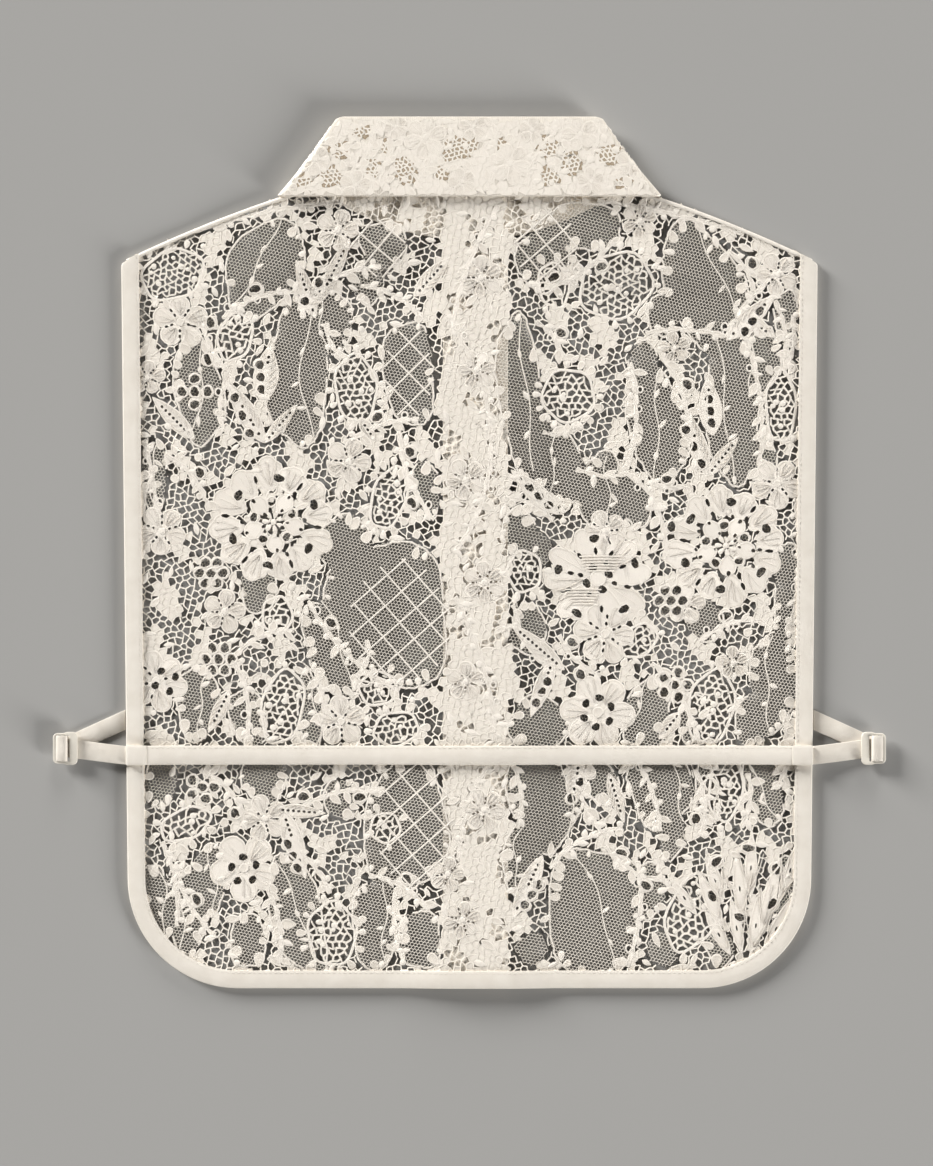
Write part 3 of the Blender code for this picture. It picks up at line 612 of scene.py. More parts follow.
VINES = (  # start x, start y, end x, end y, bow
    (-135, 128, -93, 142, 5), (-147, 133, -133, 100, -3), (-68, 59, -27, 73, 4),
    (-38, 67, -19, 18, -5), (-88, -26, -38, -75, -6), (-166, 54, -142, 23, 4),
    (-147, -118, -120, -149, 4), (-102, -146, -46, -129, 6), (-55, -176, -22, -195, 4),
    (-160, -170, -139, -209, -4), (36, 143, 78, 170, -5), (36, 126, 52, 105, 3),
    (104, 108, 120, 70, 3), (96, 40, 120, 37, -3), (99, 29, 107, -4, 3),
    (49, -45, 71, -67, -3), (126, -48, 159, -37, 4), (74, -160, 109, -179, -5),
    (123, -118, 126, -154, 4), (167, 138, 172, 100, 3), (141, 165, 155, 143, 3),
    (-84, 142, -48, 156, 4), (-78, 126, -66, 106, -4), (-60, 146, -26, 128, 4),
    (-130, 98, -134, 66, -4), (-86, -60, -80, -98, 3), (-56, -48, -62, -68, 3),
    (-128, -56, -96, -42, 4), (-128, -60, -122, -104, 4), (-168, -158, -160, -204, 4),
    (-98, -160, -76, -186, 3), (-40, -184, -36, -222, -3), (-112, -180, -104, -224, 4),
    (96, 120, 140, 118, 3), (140, 118, 176, 158, 4), (150, 120, 158, 44, 5),
    (88, 104, 86, 46, 4), (40, 66, 60, 70, -3), (24, 40, 52, 24, 3),
    (58, 46, 90, 44, -3), (46, 18, 20, 30, -3), (84, 44, 104, 22, 3),
    (24, -28, 46, -66, -4), (100, -60, 126, -104, 3), (86, -106, 104, -152, 4),
    (58, -106, 72, -152, -5), (44, -172, 84, -150, 5), (92, -168, 86, -226, 4),
    (22, -112, 26, -150, 4), (172, -96, 168, -128, 3), (152, -120, 148, -150, 3),
    (-178, 62, -172, 6, 3), (-150, 176, -70, 192, 2), (70, 192, 150, 174, 2),
    (176, 130, 172, 100, 3), (178, 30, 176, -40, 3), (-14, 130, 12, 60, 6),
    (12, 60, -8, 0, 5), (-8, -24, 14, -110, 6), (14, -110, -6, -168, -5), (16, 190, -10, 120, -4),
)
for x0, y0, x1, y1, bow in VINES:
    vine(lace, (x0, y0), (x1, y1), bow)
print("vines", len(VINES), "plates", len(lace.plates), "eyelets", len(lace.eyelets))

# %% [markdown]
# ## The fan and the ladders
#
# Long petals spread from the lower right corner in three tiers, and the big blossom's
# middle is striped with two ladders of cords.

# %% The fan
FAN_ROOT = (152, -236)  # the long petals of the lower right corner spread from here
FAN_PETALS = 14
FAN_START, FAN_SPREAD = 0.78, 1.42  # the first petal's direction, and the whole angle
FAN_TIERS = (18, 46, 31)  # where petals start, in turn, as distances from the root
for index in range(FAN_PETALS):
    angle = FAN_START + FAN_SPREAD * index / (FAN_PETALS - 1)
    near = FAN_TIERS[index % 3] + rng.uniform(-4, 4)
    reach = near + rng.uniform(20, 32) + 14 * math.sin(math.pi * index / (FAN_PETALS - 1))
    length = reach - near
    root = away(*FAN_ROOT, near, angle)
    lace.plate(leaf_shape(length, rng.uniform(7.5, 10.5), 4, 0.22, 26), *root, angle, 0.1 * (index % 2))
    lace.pierce(*root, length * 0.45, angle, 1.6, 0.5)
    petal_veins(lace, *root, angle, length * 0.8)
print("plates", len(lace.plates))

# %% The ladders
LADDERS = ((60, 84, -2), (52, 72, -20))  # the top cord's start, end and height
LADDER_CORDS = 6
LADDER_STEP = 1.6
for start, end, top in LADDERS:
    for row in range(LADDER_CORDS):
        level = top - row * LADDER_STEP
        lace.cord(curve_points((start + row * 0.8, level), (end - row, level), 0.2, 8), 0.75, 0.40)
print("plates", len(lace.plates), "cords", len(lace.cords), "fields", len(lace.fields))

# %% [markdown]
# ## Masks
#
# The net has to know which places are covered by plates, open, or filled with cells.
# Boolean modifiers on tens of thousands of threads would be slow and fragile. Instead
# those places are marked on a fine grid of squares, and a thread looks up its own square.

# %% A grid of squares
CELL = 0.3  # the side of a square, in millimetres
MASK_LOW = np.array([-192.0, -240.0])  # the grid's corner
MASK_SHAPE = (int(480 / CELL), int(384 / CELL))  # rows and columns


def fill(mask, outline):
    """Marks the squares whose middles lie inside an outline."""
    spots = (outline - MASK_LOW) / CELL
    low = np.clip(np.floor(spots.min(0)).astype(int), 0, None)
    high = np.clip(np.ceil(spots.max(0)).astype(int), None, np.array(MASK_SHAPE[::-1]))
    if (high <= low).any():
        return
    xs = np.arange(low[0], high[0]) + 0.5
    ys = np.arange(low[1], high[1]) + 0.5
    inside = np.zeros((len(ys), len(xs)), bool)
    for (ax, ay), (bx, by) in zip(spots, np.roll(spots, -1, 0)):
        if ay == by:
            continue
        rows = (ys >= min(ay, by)) & (ys < max(ay, by))
        cross = ax + (ys[rows] - ay) * (bx - ax) / (by - ay)
        inside[rows] ^= xs[None, :] > cross[:, None]
    mask[low[1]:high[1], low[0]:high[0]] |= inside


def mask_of(outlines):
    """A new mask with the insides of all the outlines marked."""
    mask = np.zeros(MASK_SHAPE, bool)
    for outline in outlines:
        fill(mask, outline)
    return mask


def looked_up(mask, points):
    """Whether each point lies on a marked square."""
    spots = ((points - MASK_LOW) / CELL).astype(int)
    ok = (spots >= 0).all(1) & (spots[:, 0] < MASK_SHAPE[1]) & (spots[:, 1] < MASK_SHAPE[0])
    spots = np.clip(spots, 0, np.array(MASK_SHAPE[::-1]) - 1)
    return mask[spots[:, 1], spots[:, 0]] & ok


print("the grid has", MASK_SHAPE[0], "by", MASK_SHAPE[1], "squares")

# %% Outlines, moved in and put in order
def inset(outline, distance):
    """A closed outline, counter-clockwise, moved in along its corners' bisectors."""
    before = outline - np.roll(outline, 1, 0)
    after = np.roll(outline, -1, 0) - outline
    run = before / np.linalg.norm(before, axis=1)[:, None]
    run = run + after / np.linalg.norm(after, axis=1)[:, None]
    run = run / np.maximum(np.linalg.norm(run, axis=1), 1e-6)[:, None]
    return outline + np.stack([-run[:, 1], run[:, 0]], 1) * distance


def turned_left(outline):
    """The outline, put in counter-clockwise order."""
    nxt = np.roll(outline, -1, 0)
    area = (outline[:, 0] * nxt[:, 1] - nxt[:, 0] * outline[:, 1]).sum()
    return outline if area > 0 else outline[::-1]


square = np.array([[0, 0], [9, 0], [9, 9], [0, 9]])
print("a square's corners moved in by 1:", inset(square, 1).round(1).tolist())

# %% Where the cloth is, and where it is open or covered
UNDER_PLATE = 0.75  # how far the net runs in under the edge of a plate
UNDER_BINDING = 2.5  # and the lace under its bindings


def opening_outline(opening, grow=0.0, count=12):
    """A slightly uneven oval, so that no two openings are quite alike."""
    x, y, half_length, half_width, turn = opening
    angles = np.linspace(0, math.tau, count, endpoint=False)
    softened = 1 - 0.04 * np.cos(6 * angles) + 0.09 * np.sin(angles * 2 + x)
    softened = softened + 0.06 * np.cos(angles * 3 + y)
    shape = np.stack([(half_length + grow) * softened * np.cos(angles),
                      (half_width + grow) * softened * np.sin(angles)], 1)
    return placed(shape, x, y, turn)


def covered_by(plates):
    return mask_of(inset(turned_left(outline), UNDER_PLATE) for outline, *_ in plates)


cloth = mask_of([turned_left(panel_outline(UNDER_BINDING))])
opened = mask_of(opening_outline(opening) for opening in OPENINGS)
print("cloth covers", round(cloth.sum() * CELL ** 2 / 100), "cm2")

# %% [markdown]
# ## Areas of open net
#
# Between the motifs the fine net shows in irregular patches. Each patch is an oval, and
# ovals that overlap make the irregular shapes. The rest of the ground is bigger cells.

# %% Areas of open net
NET_AREAS = (  # x, y, half width, half height, turn
    (-112, 155, 18, 27, -0.5), (-94, 96, 15, 36, 0.0), (-76, 126, 11, 17, 0.0),
    (-148, 89, 12, 28, 0.15), (-56, 148, 8, 11, 0.0), (-33, 98, 13, 27, 0.1),
    (-47, 168, 12, 12, 0.0), (-172, 42, 6, 19, 0.0), (-68, 4, 13, 16, 0.0),
    (-25, 34, 9, 14, 0.0), (-45, -34, 32, 38, 0.2), (-76, -52, 12, 26, 0.3),
    (-115, -20, 9, 12, 0.0), (-148, -82, 11, 19, 0.0), (-121, -90, 9, 15, 0.3),
    (-87, -86, 6, 20, 0.1), (-169, -125, 8, 13, 0.0), (-112, -122, 11, 15, 0.0),
    (-35, -150, 21, 36, -0.1), (-70, -134, 9, 10, 0.0), (-94, -198, 13, 32, 0.25),
    (-155, -195, 10, 24, 0.1), (-171, -190, 7, 20, 0.2), (-142, -178, 8, 18, 0.0),
    (-121, -212, 9, 14, 0.0), (-52, -203, 11, 23, 0.0), (-27, -211, 11, 15, 0.0),
    (128, 145, 19, 34, 0.35), (62, 178, 20, 12, 0.0), (40, 160, 13, 16, 0.0),
    (106, 130, 8, 11, 0.0), (144, 80, 14, 39, 0.0), (160, 106, 9, 17, 0.0),
    (173, 130, 6, 13, 0.0), (103, 70, 15, 30, 0.2), (28, 86, 11, 42, 0.1),
    (46, 48, 14, 22, 0.2), (72, 34, 13, 19, 0.0), (90, 28, 8, 13, 0.3), (27, 12, 8, 12, 0.0),
    (38, 2, 7, 8, 0.0), (95, 104, 7, 11, 0.0), (173, -8, 7, 13, 0.0), (160, 52, 7, 12, 0.0),
    (166, -70, 12, 25, 0.0), (173, -30, 6, 16, 0.0), (128, -36, 9, 12, 0.4),
    (32, -42, 9, 13, 0.0), (38, -93, 15, 14, 0.0), (97, -86, 11, 19, -0.4),
    (123, -92, 8, 13, 0.0), (154, -92, 8, 14, 0.0), (40, -132, 18, 28, 0.2),
    (28, -168, 9, 18, 0.0), (104, -126, 16, 22, 0.1), (110, -152, 7, 14, 0.0),
    (72, -125, 8, 11, 0.3), (68, -196, 24, 34, 0.0), (97, -184, 9, 14, 0.0),
    (161, -128, 9, 20, 0.2), (130, -130, 6, 18, 0.0), (172, -186, 7, 18, 0.0),
    (34, -216, 8, 8, 0.0), (106, -216, 8, 9, 0.0), (136, -214, 7, 11, 0.4),
)


def oval_outline(x, y, half_width, half_height, turn, count=26, grow=1.0):
    """A wavy oval, as the edge of an area of open net."""
    angles = np.linspace(0, math.tau, count, endpoint=False)
    wave = 1 + 0.06 * np.sin(angles * 4 + x) + 0.05 * np.cos(angles * 3 + y)
    oval = np.stack([half_width * wave * np.cos(angles), half_height * wave * np.sin(angles)], 1)
    return placed(oval * grow, x, y, turn)


netted = mask_of(oval_outline(*area, grow=1.12) for area in NET_AREAS)
print("open net over", round(netted[cloth].mean(), 3), "of the cloth")

# %% [markdown]
# ## Scallops, rims and stray cords
#
# A patch of net is edged with small scallops that point into it and with an uneven cord.
# A loose cord wanders through the bigger ones. They could be drawn like the motifs, but
# there are hundreds, and no two need be alike, so chance places them.

# %% Limits for an area's edge
EDGED_FROM = 10  # half height of the smallest area that gets an edge
STRAYED_FROM = 16  # and past which a loose cord wanders through it
LATTICE_REACH = 15  # an area with its middle this near a lattice's has no loose cord


def scalloped(x, y, half_width, half_height, turn):
    """Small petals on an area's edge, which point into it."""
    count = max(8, int((half_width + half_height) * 0.64))
    edge = oval_outline(x, y, half_width, half_height, turn, count)
    clear = ~looked_up(netted, edge + (edge - np.array([x, y])) * 0.12)
    for (edge_x, edge_y), wanted in zip(edge, clear):
        if wanted and rng.uniform() < 0.55:
            inward = math.atan2(y - edge_y, x - edge_x) + rng.uniform(-0.7, 0.7)
            size = rng.uniform(3.8, 8.5)
            shape = petal_shape(size, size * rng.uniform(0.6, 1.0), 1, 0.05, 12)
            lace.plate(shape, *away(edge_x, edge_y, -2.6, inward), inward)


def rimmed(x, y, half_width, half_height, turn):
    """An uneven cord round an area, left out where it meets the next one."""
    count = int((half_width + half_height) * 1.3)
    rim = oval_outline(x, y, half_width, half_height, turn, count, 1.08)
    rim = np.concatenate([rim, rim[:1]]) + rng.normal(0, 0.35, (len(rim) + 1, 2))
    clear = ~looked_up(netted, rim + (rim - np.array([x, y])) * 0.08)
    for stretch in np.split(np.arange(len(rim)), np.flatnonzero(~clear)):
        if len(stretch) > 3:
            lace.cord(rim[stretch[1:]], 1.1, 0.05)


def strayed(x, y, half_width, half_height, turn):
    """A loose cord that wanders down through the net, with three leaflets on it."""
    ends = [(half_width * rng.uniform(-0.7, 0.7), side * half_height) for side in (1, -1)]
    stray = curve_points(*placed(ends, x, y, turn), rng.uniform(-6, 6), 16)
    stray[:, 0] += 1.6 * np.sin(np.linspace(0, 9, 16) + x)
    lace.cord(stray, 0.7, 0.1)
    for spot in stray[[4, 8, 11]]:
        shape = leaf_shape(rng.uniform(4, 7), rng.uniform(2, 3.4), 2, 0.05, 12)
        lace.plate(shape, *spot, rng.uniform(0, math.tau))


# %% Edges for the areas of net
for area in NET_AREAS:
    if area[3] < EDGED_FROM:
        continue
    scalloped(*area)
    rimmed(*area)
    latticed = any(math.hypot(area[0] - x, area[1] - y) < LATTICE_REACH for x, y, *_ in LATTICES)
    if area[3] > STRAYED_FROM and not latticed:
        strayed(*area)
print("plates", len(lace.plates), "cords", len(lace.cords))

# %% [markdown]
# ## Leaflets and discs, sown over the rest
#
# The ground that is still bare is sown with leaflets and discs. Spots are tried at
# random, and one that is taken or too near another is left out.

# %% Sowing
SOWN_LOW, SOWN_HIGH = (-182, -228), (182, 198)
SOWN_TRIES = 3000
SOWN_APART = 12  # the least distance between two of them
taken = covered_by(lace.plates) | netted | opened | ~cloth
taken |= mask_of(outline for outline, *_ in lace.fields)
spots = np.zeros((0, 2))
for spot in rng.uniform(SOWN_LOW, SOWN_HIGH, (SOWN_TRIES, 2)):
    crowded = len(spots) and (np.hypot(*(spots - spot).T) < SOWN_APART).any()
    if looked_up(taken, spot[None])[0] or crowded:
        continue
    spots = np.vstack([spots, spot])
    flow = 1.2 * math.sin(spot[0] / 31) + 0.9 * math.cos(spot[1] / 23) + rng.uniform(-0.5, 0.5)
    size = rng.uniform(5.5, 10.0)
    if rng.uniform() < 0.75:
        shape = leaf_shape(size, size * rng.uniform(0.4, 0.6), 2, 0.06, 14)
    else:
        shape = disc_shape(rng.uniform(1.6, 2.6), 9)
    lace.plate(shape, *spot, flow)
print("small leaflets and discs:", len(spots))

# %% Rims round the openings, and the small holes
OPENING_RIM = 1.25  # of cloth-work round an opening
HOLES_APART = 0.8  # a small hole nearer than this to an opening is left out
for x, y, half_length, _, turn in OPENINGS:
    lace.plate(disc_shape(half_length + OPENING_RIM, 12, 0.10), x, y, turn, 0.02)
lace.plates = [(turned_left(outline), *rest) for outline, *rest in lace.plates]
covered = covered_by(lace.plates)
big = np.array([opening[:3] for opening in OPENINGS])
lace.pierced = [hole for hole in lace.pierced
                if (np.hypot(*(big[:, :2] - hole[:2]).T) > big[:, 2] + hole[2] + HOLES_APART).all()]
opened |= mask_of(opening_outline(opening) for opening in lace.eyelets + lace.pierced)
celled = mask_of(outline for outline, *_ in lace.fields)
print("covered", round(covered[cloth].mean(), 3), "celled", round(celled[cloth].mean(), 3))

# %% [markdown]
# ## From a drawing to threads
#
# Guipure is thick thread on a fine net. A texture with alpha could stand for the net, but
# it would cast no shadow through the real openings, and its edge would show up close. So
# each thread is a few faces. A Sheaf gathers points and triangles from many shapes and
# becomes one mesh, because tens of thousands of objects would be slow. Heights are
# counted from the cloth's hidden face to its shown face.

# %% A smooth uneven field
PATCHY_WAVES = 7  # how many waves are added up


def patchy(points, wave, seed):
    """A smooth field, mostly from -1 to 1, with hills about one wave apart."""
    local = np.random.default_rng(seed)
    total = np.zeros(len(points))
    for _ in range(PATCHY_WAVES):
        heading = local.uniform(0, math.tau)
        length = wave * local.uniform(0.7, 1.5)
        along = points @ np.array([math.cos(heading), math.sin(heading)])
        total += np.sin(math.tau * along / length + local.uniform(0, math.tau))
    return total / 3


print("field at three points:", patchy(np.array([[0.0, 0.0], [10.0, 0.0], [20.0, 5.0]]), 26, 3).round(2))

# %% A sheaf of triangles
class Sheaf:
    """Triangles of many shapes. Threads are UV points in millimetres, and tones go from
    0, dark, to 1, light."""

    def __init__(self):
        self.points, self.heights, self.faces, self.threads, self.tones = [], [], [], [], []
        self.count = 0

    def add(self, points, heights, faces, threads=None, tones=0.5):
        self.points.append(np.asarray(points, float))
        self.heights.append(np.broadcast_to(heights, len(points)).astype(float))
        self.faces.append(np.asarray(faces, int) + self.count)
        self.threads.append(points * 1.0 if threads is None else threads)
        self.tones.append(np.broadcast_to(tones, len(points)).astype(float))
        self.count += len(points)

    def arrays(self):
        parts = (self.points, self.heights, self.faces, self.threads, self.tones)
        return [np.concatenate(part) for part in parts]


# %% [markdown]
# ## Net
#
# Machine-made net has six-sided meshes of twisted thread. A Wireframe modifier on a sheet
# of hexagons would make square threads with many faces each. Here a knot is one triangle,
# and a thread two, twisted so that it catches the light on one edge.

# %% Knots
FINE_PITCH = 3  # a net with smaller meshes lies a little out of true
KNOT_SEED = 5


def net_knots(low, high, pitch, turn, jitter, middle):
    """The knots of six-sided meshes from corner to corner, two for each place of a grid."""
    reach = np.hypot(*(np.array(high) - low)) / 2 + pitch * 2
    centre = (np.array(high) + low) / 2 - middle
    steps = int(reach / pitch * 1.2) + 2
    i, j = np.meshgrid(np.arange(-steps, steps + 1), np.arange(-steps, steps + 1), indexing="ij")
    base = np.stack([pitch * (i + j / 2), pitch * math.sqrt(3) / 2 * j], -1).reshape(-1, 2)
    cos, sin = math.cos(turn), math.sin(turn)
    spin = np.array([[cos, sin], [-sin, cos]])
    # the grid moves to the area by whole meshes
    shift = np.round((centre @ spin.T) / pitch) @ np.diag([pitch, pitch])
    rows = round(shift[1] / (pitch * math.sqrt(3) / 2))
    shift = np.array([pitch * (round(shift[0] / pitch) - (rows % 2) / 2), rows * pitch * math.sqrt(3) / 2])
    base = base + shift
    knots = np.stack([base, base + [0, pitch / math.sqrt(3)]], 1)
    knots = knots + np.random.default_rng(KNOT_SEED).normal(0, jitter * pitch, knots.shape)
    knots = knots.reshape(-1, 2) @ spin + middle
    if pitch < FINE_PITCH:  # long, low waves
        knots = knots + 0.5 * np.stack([np.sin(knots[:, 1] / 23) * 3 + np.sin(knots[:, 0] / 41) * 2,
                                        np.sin(knots[:, 0] / 29) * 3], 1)
    return knots


print("knots on 20 by 20 mm:", len(net_knots((0, 0), (20, 20), 4, 0.3, 0.1, (0, 0))))

# %% Filled meshes
ROUND_MESH = (  # the six knots round a mesh: steps along the grid, and which knot
    (0, 0, 0), (0, -1, 1), (0, -1, 0), (1, -2, 1), (1, -1, 0), (1, -1, 1))


def fillings(sheaf, knots, allowed, filled, height):
    """Closes meshes with a low tent of six triangles each."""
    size = math.isqrt(len(knots) // 2)
    knots = knots.reshape(size, size, 2, 2)
    rim = np.stack([np.roll(knots[:, :, kind], (-di, -dj), (0, 1)) for di, dj, kind in ROUND_MESH], 2)
    rim = rim[1:-1, 2:-1].reshape(-1, 6, 2)
    centre = rim.mean(1)
    rim = rim[filled(centre) & looked_up(allowed, centre)]
    centre = rim.mean(1)
    count = len(rim)
    points = np.concatenate([rim.reshape(-1, 2), centre])
    fan = [np.stack([np.arange(count) * 6 + k, np.arange(count) * 6 + (k + 1) % 6,
                     count * 6 + np.arange(count)], 1) for k in range(6)]
    levels = np.repeat([height - 0.10, height + 0.10], [count * 6, count])
    # painted shade and highlight: the tent's low rim is darker and its raised middle lighter
    tones = np.repeat([0.7, 1.05], [count * 6, count])
    sheaf.add(points, levels, np.concatenate(fan), tones=tones)


# %% Net
THREADS = (  # a thread's step along the grid, and its corners: 0 to 2 here, 3 to 5 there
    (0, 0, (0, 5, 4, 1)), (0, -1, (1, 3, 5, 2)), (1, -1, (2, 4, 3, 0)))


def net(sheaf, allowed, low, high, pitch, width, turn, jitter, height, middle=(0.0, 0.0), tone=0.5,
        filled=None, twist=0.12):
    """Six-sided meshes of thread, between two corners and on the allowed squares.

    Each knot is a triangle and each thread a strip, twisted with one edge up and one down.
    Jitter moves the knots by a share of the pitch. Where filled says so, a whole mesh is
    closed with cloth-work."""
    knots = net_knots(low, high, pitch, turn, jitter, middle)
    keep = looked_up(allowed, knots).reshape(-1, 2)
    angles = np.radians([[30, 150, 270], [90, 210, 330]]) + turn
    corners = np.stack([np.cos(angles), np.sin(angles)], -1) * (width / math.sqrt(3))
    verts = (knots.reshape(-1, 2, 1, 2) + corners[None]).reshape(-1, 2)
    size = math.isqrt(len(knots) // 2)
    index = np.arange(size * size).reshape(size, size)
    row, column = np.divmod(index.ravel(), size)
    faces = []
    for kind in (0, 1):
        site = index.ravel()[keep[:, kind]] * 6 + kind * 3
        faces.append(np.stack([site, site + 1, site + 2], 1))
    for di, dj, quad in THREADS:
        other = np.roll(index, (-di, -dj), (0, 1)).ravel()
        inner = (row + di < size) & (column + dj >= 0)
        good = keep[:, 0] & keep[other, 1] & inner
        home, there = index.ravel()[good] * 6, other[good] * 6
        corner = [(home if q < 3 else there) + q for q in quad]
        faces.append(np.stack(corner[:3], 1))
        faces.append(np.stack([corner[0], corner[2], corner[3]], 1))
    faces = np.concatenate(faces)
    used, faces = np.unique(faces, return_inverse=True)
    levels = height + twist * np.array([1, -1, 1, -1, -1, 1])[used % 6]
    sheaf.add(verts[used], levels, faces.reshape(-1, 3), tones=tone)
    if filled is not None:
        fillings(sheaf, knots, allowed, filled, height)


# %% [markdown]
# ## Cords and raised plates
#
# A cord is seen as a low roof. A plate has a raised rim, a groove inside it and a low
# dome, as embroidery has over its padding. Delaunay triangulation fills each plate round
# its holes in one call.

# %% Cords
CORD_RISE = 0.18  # of a cord's middle over its edges


def ribbon(sheaf, path, width, height, tone=1.0):
    """A cord seen as a low roof: a raised middle line between two edges."""
    turns = headings(path)
    normal = np.stack([-np.sin(turns), np.cos(turns)], 1) * width / 2
    points = np.concatenate([path + normal, path, path - normal])
    count = len(path)
    heights = np.repeat([height, height + CORD_RISE, height], count)
    one = np.arange(count - 1)
    faces = []
    for side in (0, count):
        here = one + side
        faces.append(np.stack([here, here + count, here + count + 1], 1))
        faces.append(np.stack([here, here + count + 1, here + 1], 1))
    length = np.concatenate([[0], np.cumsum(np.hypot(*np.diff(path, axis=0).T))])
    across = np.repeat([width / 2, 0, -width / 2], count)
    threads = np.stack([np.tile(length, 3), across], 1)
    sheaf.add(points, heights, np.concatenate(faces), threads, tone)


# %% Raised plates
# the tones are painted light and shade that follow the relief: the low edge and the groove darker, the
# raised rim lightest
PLATE_RINGS = (  # distance in from the edge, height, tone
    (0.0, 0.00, 0.75), (0.40, 0.17, 1.0), (0.90, 0.06, 0.58), (2.0, 0.10, 0.85))
RINGS_NEED = (0.0, 4.0, 7.5)  # how wide a plate is that has 2, 3 or all 4 rings
PLATE_MIDDLE = (0.15, 0.95)  # height and tone inside the last ring
PLATE_HEIGHT = 0.36  # of the lowest plate's edge
LEVEL_RISE = 0.7  # how much higher a plate of level 1 would lie


def raised_plate(sheaf, outline, level, x, y, turn, holes):
    """A plate with a raised rim, a groove inside it and a low dome, less its holes."""
    reach = np.ptp(outline, 0).min()
    steps = PLATE_RINGS[:1 + sum(reach > need for need in RINGS_NEED)]
    rings = [inset(outline, step) for step, _, _ in steps]
    count = len(outline)
    points = [Vector(p) for ring in rings for p in ring]
    edges = []
    for number in range(1, len(rings)):
        base = number * count
        edges += [(base + k, base + (k + 1) % count) for k in range(count)]
    loops = [list(range(count))]
    for hole in holes:
        first = len(points)
        points += [Vector(p) for p in hole]
        loops.append(list(range(first, first + len(hole))))
    verts, _, faces, origins, _, sources = delaunay_2d_cdt(points, edges, loops, 1, 1e-4, True)
    # a face is kept where it lies inside loop 0, the outline, and in none of the holes
    keep = [f for f, s in zip(faces, sources) if 0 in s and not any(k > 0 for k in s)]
    if not keep:
        return
    faces = np.array([(f[0], f[k], f[k + 1]) for f in keep for k in range(1, len(f) - 1)])
    flat = np.array([tuple(v) for v in verts])
    shape = np.array([PLATE_MIDDLE] * len(flat))
    for number, source in enumerate(origins):
        if source and source[0] < count * len(rings):
            shape[number] = steps[source[0] // count][1:]
    # painted shade: plates lower down are darker, as if shaded by the ones on top
    tones = shape[:, 1] * (1.0 + 0.5 * level - 0.08)  # plates on top are lighter
    threads = placed(flat - [x, y], 0, 0, -turn)
    sheaf.add(flat, PLATE_HEIGHT + LEVEL_RISE * level + shape[:, 0], faces, threads, tones)


def holes_in(outline):
    """Outlines of the openings and the small holes that may reach into a plate."""
    found = []
    for openings, reach, count in ((OPENINGS, 4, 12), (lace.pierced, 1, 7)):
        low, high = outline.min(0) - reach, outline.max(0) + reach
        found += [opening_outline(opening, 0.0, count) for opening in openings
                  if low[0] < opening[0] < high[0] and low[1] < opening[1] < high[1]]
    return found


# %% The raised motifs
CORD_HEIGHT = 0.34  # of the lowest cord's edges
FINE_CORD = 0.5  # a cord no wider than this is left out where it crosses a hole
motifs = Sheaf()
for outline, level, x, y, turn in lace.plates:
    raised_plate(motifs, outline, level, x, y, turn, holes_in(outline))
for path, width, level in lace.cords:
    if width > FINE_CORD or not looked_up(opened, path).any():
        ribbon(motifs, path, width, CORD_HEIGHT + level)
for opening in OPENINGS:  # one that stands in open ground gets a cord round it
    ring = opening_outline(opening, 0.42)
    if looked_up(covered, opening_outline(opening, 2.4)).mean() < 0.6:
        ribbon(motifs, np.concatenate([ring, ring[:2]]), 0.8, 0.50, 0.8)
print("motif triangles", sum(len(faces) for faces in motifs.faces))

# %% The ground: cells, coarse meshes and fine net
SHEET_LOW, SHEET_HIGH = np.array([-190.0, -240.0]), np.array([190.0, 205.0])
FINE_NET = {"pitch": 1.86, "width": 0.25, "turn": -0.22, "jitter": 0.03, "height": 0.40, "twist": 0.17}
free = cloth & ~covered & ~opened
rough = free & ~celled & ~netted
fine = free & ~celled & netted
crossed = cloth & mask_of(opening_outline(opening, 1.1) for opening in OPENINGS)


def closed_mesh(spots):
    """Where the big meshes are filled: in patches, and mostly so over the placket."""
    over_placket = np.abs(spots[:, 0] - PLACKET_X) < PLACKET_HALF + 1
    return patchy(spots, 26, 3) + 0.6 * patchy(spots, 9, 4) > np.where(over_placket, -0.7, 0.45)


ground = Sheaf()
for outline, pitch, width, turn in lace.fields:
    net(ground, mask_of([outline]) & free, outline.min(0), outline.max(0), pitch, width, turn,
        jitter=0.13, height=0.42, middle=tuple(outline.mean(0)), tone=0.8)
net(ground, rough, SHEET_LOW, SHEET_HIGH, pitch=4.1, width=0.72, turn=0.3, jitter=0.13, height=0.44,
    tone=0.95, filled=closed_mesh)
# painted shade: the fine net's low tone greys its yarn, the same ivory as the big cells', for the shade
# between its threads
net(ground, fine, SHEET_LOW, SHEET_HIGH, tone=0.42, **FINE_NET)
behind = Sheaf()  # the fronts' net, which shows through the back's openings
# its lower tone is painted shade too
net(behind, crossed, SHEET_LOW, SHEET_HIGH, tone=0.6, **FINE_NET)
print("fine net over", round(fine[cloth].mean(), 3), "big cells over", round(rough[cloth].mean(), 3))
print("ground triangles", sum(len(faces) for faces in ground.faces))

# %% [markdown]
# ## Nodes for the materials
#
# Lace yarn, woven tape and satin differ in their fine relief: yarn has a twist, and tape
# a plain weave. Both are node groups, built once and placed in each material with its own
# scale. The helpers below make a node, and link its inputs or set them, in one line.

# %% Nodes with their inputs
def feed(tree, socket, value):
    """Links a socket to another node's output, or gives it a plain value."""
    if isinstance(value, bpy.types.NodeSocket):
        tree.links.new(value, socket)
    else:
        socket.default_value = value


def new_node(tree, kind, inputs):
    """A shader node of one kind, with its named inputs linked or set."""
    node = tree.nodes.new("ShaderNode" + kind)
    for label, value in inputs.items():
        feed(tree, node.inputs[label], value)
    return node


def math_node(tree, kind, first, second):
    node = tree.nodes.new("ShaderNodeMath")
    node.operation = kind
    for socket, value in zip(node.inputs, (first, second)):
        feed(tree, socket, value)
    return node.outputs[0]


def weighted(tree, first, first_share, second, second_share):
    """The sum of two values, each times its share."""
    return math_node(tree, "ADD", math_node(tree, "MULTIPLY", first, first_share),
                     math_node(tree, "MULTIPLY", second, second_share))


